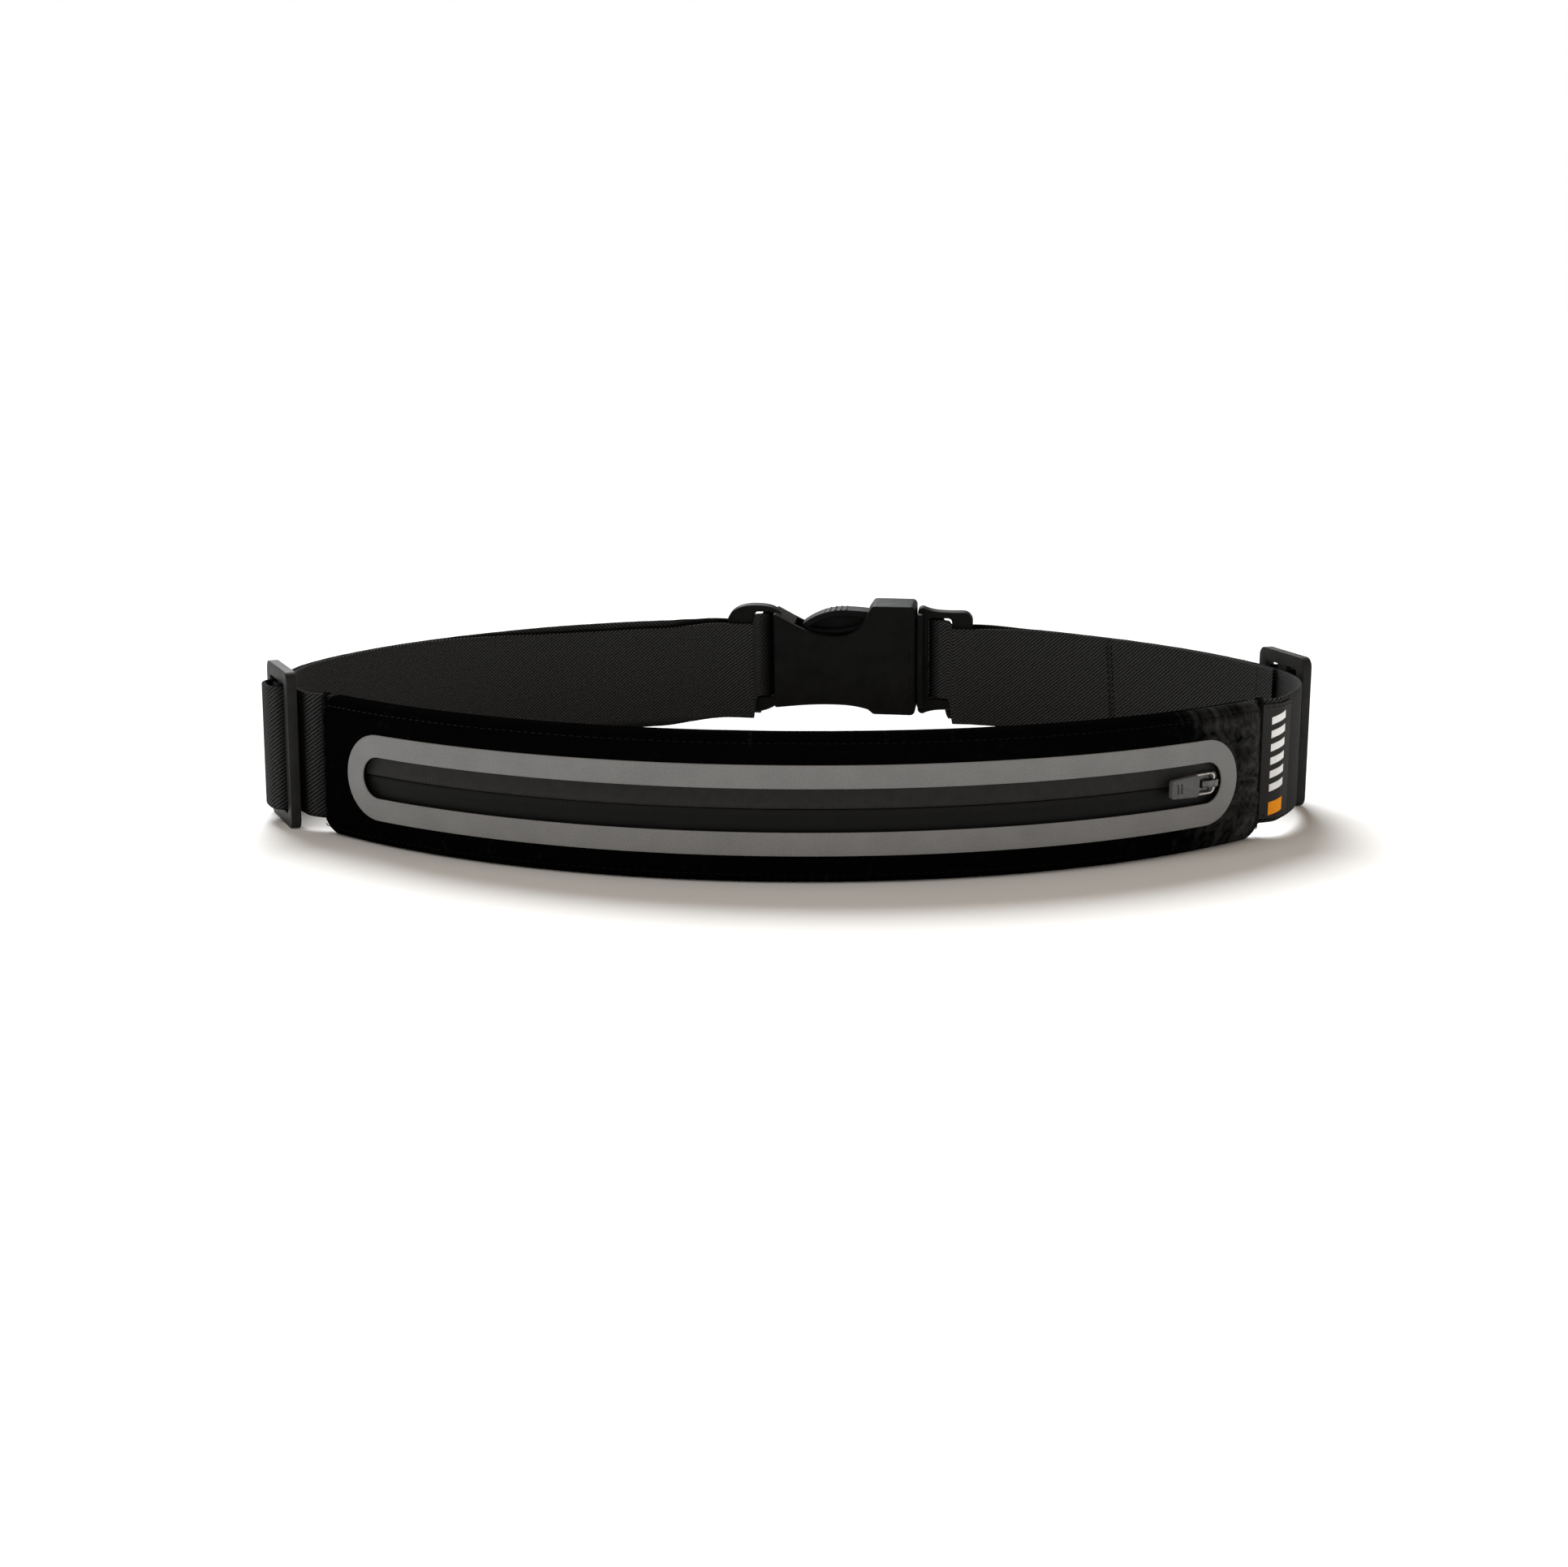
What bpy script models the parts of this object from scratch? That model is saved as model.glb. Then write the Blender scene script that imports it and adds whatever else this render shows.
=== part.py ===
"""Waist money belt: a stretch pouch with a zip on an elastic strap that closes round the waist.

The belt is a ring standing on edge, made of tangent arcs. The pouch faces -Y and +X is to its
right. A tri-glide sits on each side of the ring and a side-release buckle closes it behind.
Metres, +Z up. The origin is on the floor, at the middle of the ring.
"""
import bmesh
import bpy
import math
from mathutils import Matrix, Vector

MM = 0.001
UP = Vector((0.0, 0.0, 1.0))
GAP = 0.3 * MM

# Strap webbing
STRAP_WIDTH = 38.0 * MM
STRAP_THICK = 1.3 * MM
LAYER = STRAP_THICK / 2 + GAP / 2
STRAP_Z_POUCH = 22.5 * MM
STRAP_Z_SIDE = 23.5 * MM
STRAP_Z_BUCKLE = 25.0 * MM
LEAD_LENGTH = 14.0 * MM
LEAD_STEPS = 12
BUCKLE_APPROACH = 26.0 * MM
SEAM_BEFORE_BUCKLE = 52.0 * MM

# Plan of the ring: one front arc, two side arcs and one back arc, all tangent
FRONT_RADIUS = 203.5 * MM
FRONT_HALF_ANGLE = math.radians(44.3)
SIDE_RADIUS = 50.0 * MM
RING_DEPTH = 217.8 * MM
FRONT_CENTRE = Vector((0.0, FRONT_RADIUS - RING_DEPTH / 2, 0.0))
SIDE_X = (FRONT_RADIUS - SIDE_RADIUS) * math.sin(FRONT_HALF_ANGLE)
SIDE_Y = FRONT_CENTRE.y - (FRONT_RADIUS - SIDE_RADIUS) * math.cos(FRONT_HALF_ANGLE)
BACK_REACH = RING_DEPTH / 2 - SIDE_Y
BACK_RADIUS = (SIDE_X ** 2 + BACK_REACH ** 2 - SIDE_RADIUS ** 2) / (2 * (BACK_REACH - SIDE_RADIUS))
BACK_CENTRE = Vector((0.0, RING_DEPTH / 2 - BACK_RADIUS, 0.0))
SIDE_END_ANGLE = math.pi - math.atan2(SIDE_X, SIDE_Y - BACK_CENTRE.y)
FRONT_LENGTH = FRONT_RADIUS * FRONT_HALF_ANGLE
SIDE_LENGTH = SIDE_RADIUS * (SIDE_END_ANGLE - FRONT_HALF_ANGLE)

# Pouch
POUCH_HALF_LENGTH = 150.6 * MM
POUCH_HALF_HEIGHT = 21.0 * MM
POUCH_CORNER = 6.0 * MM
POUCH_INSET = -2.7 * MM
POUCH_WALL = 1.2 * MM
FRONT_BULGE = 5.2 * MM
BACK_BULGE = 4.6 * MM
RIM_FLAT = 1.0 * MM
SHOULDER = 7.5 * MM
TRIM_HALF_LENGTH = 138.9 * MM
TRIM_HALF_HEIGHT = 12.7 * MM
TRIM_BAND = 6.6 * MM
TRIM_THICK = 0.4 * MM
WINDOW_HALF_LENGTH = TRIM_HALF_LENGTH - TRIM_BAND
WINDOW_HALF_HEIGHT = TRIM_HALF_HEIGHT - TRIM_BAND
POUCH_FACE = POUCH_INSET + FRONT_BULGE
LONG_STEPS = 30
CORNER_STEPS = 3
END_STEPS = 2
BINDING_LENGTH = 3.0 * MM
BINDING_HEIGHT = 39.6 * MM
BINDING_WALL = 0.8 * MM

# Zip, in the window
TAPE_FRONT = 0.7 * MM
TAPE_THICK = 0.8 * MM
TAPE_HALF_LENGTH = 137.0 * MM
TAPE_EDGE = 9.8 * MM
LIP_EDGE = 0.8 * MM
COIL_EDGE = 2.6 * MM
COIL_THICK = 1.35 * MM
COIL_FRONT = TAPE_FRONT - TAPE_THICK - GAP
COIL_HALF_LENGTH = 131.0 * MM
STOP_LENGTH = 2.4 * MM
SLIDER_S = 126.9 * MM
SLIDER_LENGTH = 8.0 * MM
SLIDER_HEIGHT = 6.6 * MM
SLIDER_FACE = 2.3 * MM
SLIDER_BACK = -3.2 * MM
SLIDER_PLATE = 1.1 * MM
BRIDGE_TOP = 4.6 * MM
PULL_PIVOT_U = 1.9 * MM
PULL_PIVOT_OUT = 3.05 * MM
PULL_WIRE = 0.9 * MM
PULL_LOOP_LENGTH = 9.1 * MM
PULL_TAB_LENGTH = 11.0 * MM
PULL_TAB_THICK = 1.5 * MM

# Tri-glides, flat frames on the side arcs
GLIDE_HALF_LENGTH = 14.0 * MM
GLIDE_HALF_HEIGHT = 24.0 * MM
GLIDE_RAIL = 4.0 * MM
GLIDE_END_BAR = 4.4 * MM
GLIDE_CENTRE_BAR = 5.0 * MM
GLIDE_INNER = 1.5 * MM
GLIDE_THICK = 3.0 * MM
GLIDE_CORNER = 3.0 * MM
GLIDE_RECESS = 0.8 * MM
ANCHOR_THICK = 1.2 * MM
GLIDE_LEFT_ANGLE = math.radians(65.0)
GLIDE_RIGHT_ANGLE = math.radians(107.0)

# Label on the right strap
LABEL_START = POUCH_HALF_LENGTH + 4.5 * MM
LABEL_LENGTH = 12.0 * MM
LABEL_HALF_HEIGHT = 17.5 * MM
LABEL_THICK = 0.4 * MM
LABEL_STEPS = 8

# Buckle, along a chord of the back arc, leaning in at the top
BUCKLE_X = 21.7 * MM
BUCKLE_Z = 29.6 * MM
BUCKLE_LEAN = math.radians(8.0)
BUCKLE_INSET = 5.4 * MM
BUCKLE_HALF_LENGTH = 45.0 * MM
BUCKLE_HALF_HEIGHT = 20.65 * MM
BUCKLE_HALF_THICK = 6.4 * MM
BUCKLE_WALL = 2.0 * MM
BODY_LEFT = -27.5 * MM
COLLAR_LEFT = 8.0 * MM
BODY_RIGHT = 24.5 * MM
WAIST_HALF_HEIGHT = 8.9 * MM
SOCKET_BAR_RIGHT = -35.0 * MM
FRAME_HALF_THICK = 2.2 * MM
SLOT_HALF_HEIGHT = 16.4 * MM
PLUG_SLOT_HALF_HEIGHT = 15.5 * MM
PLUG_SLOT_LEFT = 29.0 * MM
PLUG_BAR_LEFT = 37.5 * MM
ARM_ROOT = Vector((23.0 * MM, 0.0, 14.5 * MM))
ARM_WIDTH = 2.4 * MM
ARM_HALF_THICK = 3.2 * MM
STRAP_SAG = -4.4 * MM

COLOURS = {
    "stretch_fabric": ((0.012, 0.012, 0.013), 0.9, 0.0),
    "reflective_film": ((0.17, 0.17, 0.175), 0.6, 0.0),
    "zip_tape": ((0.035, 0.035, 0.037), 0.6, 0.0),
    "zip_coil": ((0.02, 0.02, 0.021), 0.5, 0.0),
    "zip_metal": ((0.55, 0.55, 0.54), 0.3, 1.0),
    "pull_rubber": ((0.09, 0.09, 0.092), 0.6, 0.0),
    "binding": ((0.01, 0.01, 0.011), 0.9, 0.0),
    "webbing": ((0.02, 0.02, 0.022), 0.85, 0.0),
    "label": ((0.05, 0.05, 0.052), 0.8, 0.0),
    "glide_plastic": ((0.05, 0.05, 0.05), 0.45, 0.0),
    "buckle_plastic": ((0.025, 0.026, 0.028), 0.5, 0.0),
}


def clear_scene():
    """Empty the file without closing it."""
    for item in list(bpy.data.objects):
        bpy.data.objects.remove(item, do_unlink=True)


def make_material(slot):
    """A plain Principled material in the colour of the slot."""
    colour, roughness, metallic = COLOURS[slot]
    material = bpy.data.materials.new(slot)
    material.use_nodes = True
    shader = material.node_tree.nodes["Principled BSDF"]
    shader.inputs["Base Color"].default_value = (*colour, 1.0)
    shader.inputs["Roughness"].default_value = roughness
    shader.inputs["Metallic"].default_value = metallic
    return material


def add_object(name, bm, slot, parent=None, smooth_angle=35.0):
    """Turn a bmesh into a named object with its own material and outward normals."""
    bmesh.ops.recalc_face_normals(bm, faces=bm.faces)
    mesh = bpy.data.meshes.new(name)
    bm.to_mesh(mesh)
    bm.free()
    mesh.shade_smooth()
    mesh.set_sharp_from_angle(angle=math.radians(smooth_angle))
    item = bpy.data.objects.new(name, mesh)
    mesh.materials.append(make_material(slot))
    bpy.context.scene.collection.objects.link(item)
    item.parent = parent
    return item


def add_empty(name, matrix):
    """A frame for the pieces that share a place or a joint axis."""
    item = bpy.data.objects.new(name, None)
    bpy.context.scene.collection.objects.link(item)
    item.matrix_world = matrix
    return item


def hang(item, empty):
    """Parent a piece that is modelled in place to an empty on its joint's axis."""
    item.parent = empty
    item.matrix_parent_inverse = empty.matrix_world.inverted()


def add_boolean(target, tool, operation):
    """Combine the target with a tool that isn't a piece itself."""
    tool.hide_render = True
    tool.display_type = 'WIRE'
    modifier = target.modifiers.new(tool.name, 'BOOLEAN')
    modifier.operation = operation
    modifier.solver = 'EXACT'
    modifier.object = tool


def add_bevel(target, width, segments=2):
    """Round the sharp edges of a moulded piece."""
    modifier = target.modifiers.new("rounding", 'BEVEL')
    modifier.width = width
    modifier.segments = segments
    modifier.limit_method = 'ANGLE'
    modifier.angle_limit = math.radians(40.0)


def smoothstep(low, high, value):
    """0 below low, 1 above high and smooth between."""
    t = min(max((value - low) / (high - low), 0.0), 1.0)
    return t * t * (3.0 - 2.0 * t)


def blend(a, b, t):
    """The point or number at fraction t of the way from a to b."""
    return a + (b - a) * t


# ---------------------------------------------------------------- ring

def ring_heading(s):
    """Arc centre, radius and outward heading at arc length s from the front's middle."""
    distance = abs(s)
    if distance <= FRONT_LENGTH:
        return FRONT_CENTRE, FRONT_RADIUS, distance / FRONT_RADIUS
    side_centre = Vector((SIDE_X, SIDE_Y, 0.0))
    if distance <= FRONT_LENGTH + SIDE_LENGTH:
        return side_centre, SIDE_RADIUS, FRONT_HALF_ANGLE + (distance - FRONT_LENGTH) / SIDE_RADIUS
    rest = distance - FRONT_LENGTH - SIDE_LENGTH
    return BACK_CENTRE, BACK_RADIUS, SIDE_END_ANGLE + rest / BACK_RADIUS


def ring_normal(heading, side):
    """Outward direction in plan. Heading 0 points to -Y, and side is +1 to the right."""
    return Vector((side * math.sin(heading), -math.cos(heading), 0.0))


def ring_point(s, out, z):
    """A point at arc length s, the given distance outside the ring's base line."""
    centre, radius, heading = ring_heading(s)
    side = 1.0 if s >= 0.0 else -1.0
    normal = ring_normal(heading, side)
    return Vector((side * centre.x, centre.y, z)) + normal * (radius + out)


def side_distance(heading):
    """Arc length from the front's middle to a heading on a side arc."""
    return FRONT_LENGTH + SIDE_RADIUS * (heading - FRONT_HALF_ANGLE)


# ---------------------------------------------------------------- builders

def bridge_loops(bm, loops, closed_ends=False):
    """Join rows of vertices with quads. Rows are closed loops of equal length."""
    for first, second in zip(loops, loops[1:]):
        count = len(first)
        for i in range(count):
            j = (i + 1) % count
            bm.faces.new((first[i], first[j], second[j], second[i]))
    if closed_ends:
        bm.faces.new(loops[0])
        bm.faces.new(list(reversed(loops[-1])))


def ribbon(name, path, slot, thickness=STRAP_THICK, parent=None):
    """Webbing swept along a path of (point, width direction, half width)."""
    bm = bmesh.new()
    rows = []
    for i, (point, across, half) in enumerate(path):
        ahead = path[min(i + 1, len(path) - 1)][0]
        behind = path[max(i - 1, 0)][0]
        normal = (ahead - behind).cross(across).normalized() * (thickness / 2)
        side = across * half
        corners = (point + normal + side, point - normal + side, point - normal - side, point + normal - side)
        rows.append([bm.verts.new(corner) for corner in corners])
    bridge_loops(bm, rows, closed_ends=True)
    return add_object(name, bm, slot, parent)


def curved_bar(name, span, z_range, out_range, slot, steps=30, parent=None):
    """A strip with a rectangular section that follows the ring between two arc lengths."""
    bm = bmesh.new()
    rows = []
    for i in range(steps + 1):
        s = blend(span[0], span[1], i / steps)
        section = ((out_range[0], z_range[0]), (out_range[1], z_range[0]),
                   (out_range[1], z_range[1]), (out_range[0], z_range[1]))
        rows.append([bm.verts.new(ring_point(s, out, z)) for out, z in section])
    bridge_loops(bm, rows, closed_ends=True)
    return add_object(name, bm, slot, parent)


def arc_points(centre, radius, start, end, steps):
    """Points on a plane arc, angles in degrees."""
    points = []
    for i in range(steps + 1):
        angle = math.radians(blend(start, end, i / steps))
        points.append((centre[0] + radius * math.cos(angle), centre[1] + radius * math.sin(angle)))
    return points


def rounded_rectangle(half_u, half_w, corner, steps=4, centre=(0.0, 0.0)):
    """Outline of a rectangle with round corners, anticlockwise."""
    points = []
    for sign_u, sign_w, start in ((1, 1, 0), (-1, 1, 90), (-1, -1, 180), (1, -1, 270)):
        middle = (centre[0] + sign_u * (half_u - corner), centre[1] + sign_w * (half_w - corner))
        points += arc_points(middle, corner, start, start + 90, steps)
    return points


def bezier(p0, p1, p2, p3, steps):
    """Points on a plane cubic curve, without its last point."""
    points = []
    for i in range(steps):
        t = i / steps
        k = ((1 - t) ** 3, 3 * t * (1 - t) ** 2, 3 * t * t * (1 - t), t ** 3)
        points.append(tuple(k[0] * p0[j] + k[1] * p1[j] + k[2] * p2[j] + k[3] * p3[j] for j in (0, 1)))
    return points


def slab_mesh(outline, holes, low, high):
    """A flat piece with holes: outlines in local X and Z, thickness along local Y."""
    bm = bmesh.new()
    edges = []
    for loop in (outline, *holes):
        verts = [bm.verts.new((u, low, w)) for u, w in loop]
        for i, vert in enumerate(verts):
            edges.append(bm.edges.new((vert, verts[(i + 1) % len(verts)])))
    if holes:
        bmesh.ops.triangle_fill(bm, use_beauty=True, use_dissolve=False, edges=edges)
    else:
        bm.faces.new(list(bm.verts))
    cap = bmesh.ops.extrude_face_region(bm, geom=list(bm.faces))
    moved = [part for part in cap["geom"] if isinstance(part, bmesh.types.BMVert)]
    bmesh.ops.translate(bm, verts=moved, vec=(0.0, high - low, 0.0))
    return bm


def slab(name, outline, holes, low, high, slot, parent):
    """A flat piece as an object."""
    return add_object(name, slab_mesh(outline, holes, low, high), slot, parent)


def box(name, u_range, v_range, w_range, slot, parent):
    """A plain block in local axes."""
    outline = [(u_range[0], w_range[0]), (u_range[1], w_range[0]),
               (u_range[1], w_range[1]), (u_range[0], w_range[1])]
    return slab(name, outline, [], v_range[0], v_range[1], slot, parent)


# ---------------------------------------------------------------- pouch

def pouch_outline(half_length, half_height, corner):
    """Rounded rectangle in arc length and height, mirrored about its long axis.

    It starts at the middle of the right end, so that point i and point -i face each other.
    """
    straight = half_length - corner
    rise = half_height - corner
    quarter = [(half_length, rise * i / END_STEPS) for i in range(END_STEPS)]
    quarter += arc_points((straight, rise), corner, 0, 90, CORNER_STEPS)[:-1]
    top = [(straight - 2 * straight * i / LONG_STEPS, half_height) for i in range(LONG_STEPS + 1)]
    left = [(-s, z) for s, z in reversed(quarter)]
    upper = quarter + top + left
    lower = [(s, -z) for s, z in reversed(upper[1:-1])]
    return upper + lower


def pouch_loop(bm, outline, out):
    """Put an outline on the front arc, the given distance outside the base line."""
    return [bm.verts.new(ring_point(s, out, POUCH_HALF_HEIGHT + z)) for s, z in outline]


def close_loop(bm, loop):
    """Fill a loop across its long axis with strips that follow the curve."""
    half = len(loop) // 2
    bm.faces.new((loop[0], loop[1], loop[-1]))
    for i in range(1, half - 1):
        bm.faces.new((loop[-i], loop[i], loop[i + 1], loop[-i - 1]))
    bm.faces.new((loop[half - 1], loop[half], loop[half + 1]))


def inset_outline(inset):
    """The pouch's outline, moved in by the inset."""
    return pouch_outline(POUCH_HALF_LENGTH - inset, POUCH_HALF_HEIGHT - inset, POUCH_CORNER)


def shoulder_height(fraction):
    """Rise of the round shoulder, 0 at the rim and 1 where the face turns flat."""
    return math.sqrt(1.0 - (1.0 - fraction) ** 2)


def pouch_panel(name, facing, bulge, window):
    """Half of the pouch: a shallow tray with round shoulders. Facing is +1 out, -1 in."""
    bm = bmesh.new()
    rim = GAP / 2
    fractions = (0.06, 0.22, 0.5, 1.0)
    outer = [(inset_outline(0.0), rim), (inset_outline(0.0), rim + RIM_FLAT)]
    for fraction in fractions:
        rise = (bulge - rim - RIM_FLAT) * shoulder_height(fraction)
        outer.append((inset_outline(SHOULDER * fraction), rim + RIM_FLAT + rise))
    inner = [(inset_outline(POUCH_WALL), rim)]
    for fraction in fractions[1:]:
        rise = (bulge - POUCH_WALL - rim) * shoulder_height(fraction)
        inner.append((inset_outline(blend(POUCH_WALL, SHOULDER, fraction)), rim + rise))
    if window:
        half_height = WINDOW_HALF_HEIGHT + GAP
        opening = pouch_outline(WINDOW_HALF_LENGTH + GAP, half_height, half_height - 0.01 * MM)
        outer.append((opening, bulge))
        inner.append((opening, bulge - POUCH_WALL))
    rows = [pouch_loop(bm, outline, POUCH_INSET + facing * out) for outline, out in reversed(inner)]
    rows += [pouch_loop(bm, outline, POUCH_INSET + facing * out) for outline, out in outer]
    bridge_loops(bm, rows)
    if window:
        bridge_loops(bm, [rows[-1], rows[0]])
    else:
        close_loop(bm, rows[0])
        close_loop(bm, rows[-1])
    return add_object(name, bm, "stretch_fabric", smooth_angle=50.0)


def reflective_trim():
    """Flat ring of film round the window, on the front panel's face."""
    bm = bmesh.new()
    outer = pouch_outline(TRIM_HALF_LENGTH, TRIM_HALF_HEIGHT, TRIM_HALF_HEIGHT - 0.01 * MM)
    inner = pouch_outline(WINDOW_HALF_LENGTH, WINDOW_HALF_HEIGHT, WINDOW_HALF_HEIGHT - 0.01 * MM)
    low = POUCH_FACE + GAP
    high = low + TRIM_THICK
    section = ((outer, low), (outer, high), (inner, high), (inner, low))
    rows = [pouch_loop(bm, outline, out) for outline, out in section]
    bridge_loops(bm, rows + rows[:1])
    return add_object("reflective_trim", bm, "reflective_film")


def end_binding(name, side):
    """Folded tape round the strap, just outside the pouch's end."""
    bm = bmesh.new()
    rows = []
    start = POUCH_HALF_LENGTH + GAP
    half_height = BINDING_HEIGHT / 2
    outer_half = STRAP_THICK / 2 + GAP + BINDING_WALL
    inner_half = STRAP_THICK / 2 + GAP
    corners = ((1, 1), (1, -1), (-1, -1), (-1, 1))
    end = start + BINDING_LENGTH
    inner_height = STRAP_WIDTH / 2 + GAP
    shells = ((start, outer_half, half_height), (end, outer_half, half_height),
              (end, inner_half, inner_height), (start, inner_half, inner_height))
    for distance, half_out, half_z in shells:
        middle = strap_out(distance)
        section = [(middle + half_out * a, STRAP_Z_POUCH + half_z * b) for a, b in corners]
        rows.append([bm.verts.new(ring_point(side * distance, out, z)) for out, z in section])
    bridge_loops(bm, rows + rows[:1])
    return add_object(name, bm, "binding")


def build_pouch():
    """The two panels, the trim and the bindings."""
    pouch_panel("pouch_front_panel", 1, FRONT_BULGE, window=True)
    pouch_panel("pouch_back_panel", -1, BACK_BULGE, window=False)
    reflective_trim()
    end_binding("end_binding_left", -1)
    end_binding("end_binding_right", 1)


# ---------------------------------------------------------------- zip

def build_zip_lip(side_name, sign):
    """One half of the zip: tape, coil and top stop. Sign is +1 above the middle."""
    middle = POUCH_HALF_HEIGHT
    tape_z = sorted((middle + sign * LIP_EDGE, middle + sign * TAPE_EDGE))
    coil_z = sorted((middle + sign * LIP_EDGE, middle + sign * COIL_EDGE))
    coil_out = (COIL_FRONT - COIL_THICK, COIL_FRONT)
    tape_out = (TAPE_FRONT - TAPE_THICK, TAPE_FRONT)
    stop_start = COIL_HALF_LENGTH + GAP
    pivot = ring_point(-WINDOW_HALF_LENGTH, TAPE_FRONT - TAPE_THICK / 2, middle)
    axis = add_empty("zip_lip_%s_axis" % side_name, Matrix.Translation(pivot))
    tape_span = (-TAPE_HALF_LENGTH, TAPE_HALF_LENGTH)
    coil_span = (-COIL_HALF_LENGTH, COIL_HALF_LENGTH)
    stop_span = (stop_start, stop_start + STOP_LENGTH)
    tape = curved_bar("zip_tape_" + side_name, tape_span, tape_z, tape_out, "zip_tape")
    coil = curved_bar("zip_coil_" + side_name, coil_span, coil_z, coil_out, "zip_coil")
    stop = curved_bar("zip_top_stop_" + side_name, stop_span, coil_z, coil_out, "zip_metal", steps=1)
    bpy.context.view_layer.update()
    for piece in (tape, coil, stop):
        hang(piece, axis)


def build_slider(frame):
    """Slider: a front and a back plate, the post between the lips and the bridge for the pull."""
    half_length = SLIDER_LENGTH / 2
    half_height = SLIDER_HEIGHT / 2
    outline = rounded_rectangle(half_length, half_height, 1.6 * MM, 3)
    slider = slab("zip_slider", outline, [], -SLIDER_FACE, SLIDER_PLATE - SLIDER_FACE, "zip_metal", frame)
    back_face = -SLIDER_BACK
    back = slab("slider_back_tool", outline, [], back_face - SLIDER_PLATE, back_face, "zip_metal", frame)
    overlap = 0.2 * MM
    post = box("slider_post_tool", (0.4 * MM, 3.0 * MM), (overlap - SLIDER_FACE, back_face - overlap),
               (-0.5 * MM, 0.5 * MM), "zip_metal", frame)
    bridge_half = 3.4 * MM
    bridge_bar = 0.8 * MM
    bridge = box("slider_bridge_tool", (-bridge_half, bridge_half), (-BRIDGE_TOP, overlap - SLIDER_FACE),
                 (-1.1 * MM, 1.1 * MM), "zip_metal", frame)
    tunnel = box("slider_tunnel_tool", (bridge_bar - bridge_half, bridge_half - bridge_bar),
                 (bridge_bar - BRIDGE_TOP, -SLIDER_FACE), (-2.0 * MM, 2.0 * MM), "zip_metal", frame)
    add_boolean(bridge, tunnel, 'DIFFERENCE')
    for tool in (back, post, bridge):
        add_boolean(slider, tool, 'UNION')


def build_pull(slider_frame):
    """Pull: a wire loop hinged under the bridge and the tab on its far end."""
    place = Matrix.Translation((PULL_PIVOT_U, -PULL_PIVOT_OUT, 0.0))
    pivot = add_empty("pull_pivot", slider_frame.matrix_world @ place)
    half_height = SLIDER_HEIGHT / 2
    right = PULL_WIRE / 2
    middle = (right - PULL_LOOP_LENGTH / 2, 0.0)
    half_length = PULL_LOOP_LENGTH / 2
    outline = rounded_rectangle(half_length, half_height, 1.2 * MM, 3, middle)
    hole = rounded_rectangle(half_length - PULL_WIRE, half_height - PULL_WIRE, 0.5 * MM, 3, middle)
    slab("zip_pull_loop", outline, [hole], -0.4 * MM, 0.4 * MM, "zip_metal", pivot)
    tab_right = right - PULL_LOOP_LENGTH + 1.2 * MM
    tab_middle = (tab_right - PULL_TAB_LENGTH / 2, 0.0)
    tab_outline = rounded_rectangle(PULL_TAB_LENGTH / 2, 3.0 * MM, 0.8 * MM, 3, tab_middle)
    tab_low = -0.4 * MM - GAP - PULL_TAB_THICK
    slab("zip_pull_tab", tab_outline, [], tab_low, tab_low + PULL_TAB_THICK, "pull_rubber", pivot)


def build_zip():
    """Tapes, coils, stops, slider and pull."""
    build_zip_lip("upper", 1)
    build_zip_lip("lower", -1)
    stop_start = COIL_HALF_LENGTH + GAP
    curved_bar("zip_bottom_stop", (-stop_start - STOP_LENGTH, -stop_start),
               (POUCH_HALF_HEIGHT - COIL_EDGE, POUCH_HALF_HEIGHT + COIL_EDGE),
               (COIL_FRONT - COIL_THICK, COIL_FRONT), "zip_metal", steps=1)
    axis = add_empty("zip_axis", Matrix.Translation(FRONT_CENTRE + UP * POUCH_HALF_HEIGHT))
    axis.rotation_euler = (0.0, 0.0, SLIDER_S / FRONT_RADIUS)
    frame = add_empty("slider_frame", Matrix.Translation((0.0, -FRONT_RADIUS, 0.0)))
    frame.parent = axis
    bpy.context.view_layer.update()
    build_slider(frame)
    build_pull(frame)


# ---------------------------------------------------------------- strap

def strap_out(distance):
    """How far the strap's outer run lies outside the base line."""
    leave = POUCH_HALF_LENGTH + BINDING_LENGTH
    return blend(POUCH_INSET, LAYER, smoothstep(leave, leave + 9.0 * MM, distance))


def strap_height(distance):
    """Height of the strap's middle along the ring."""
    rise = smoothstep(POUCH_HALF_LENGTH, side_distance(GLIDE_LEFT_ANGLE), distance)
    back_start = side_distance(GLIDE_RIGHT_ANGLE)
    lift = smoothstep(back_start, back_start + 110.0 * MM, distance)
    return STRAP_Z_POUCH + (STRAP_Z_SIDE - STRAP_Z_POUCH) * rise + (STRAP_Z_BUCKLE - STRAP_Z_SIDE) * lift


def strap_lean(distance):
    """Lean of the strap, which follows the buckle's behind."""
    start = FRONT_LENGTH + SIDE_LENGTH
    return BUCKLE_LEAN * smoothstep(start, start + 90.0 * MM, distance)


def strap_station(s, out):
    """One cross-section of the strap on the ring: point, width direction and half width."""
    _, _, heading = ring_heading(s)
    normal = ring_normal(heading, 1.0 if s >= 0.0 else -1.0)
    lean = strap_lean(abs(s))
    across = UP * math.cos(lean) - normal * math.sin(lean)
    return ring_point(s, out, strap_height(abs(s))), across, STRAP_WIDTH / 2


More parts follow.
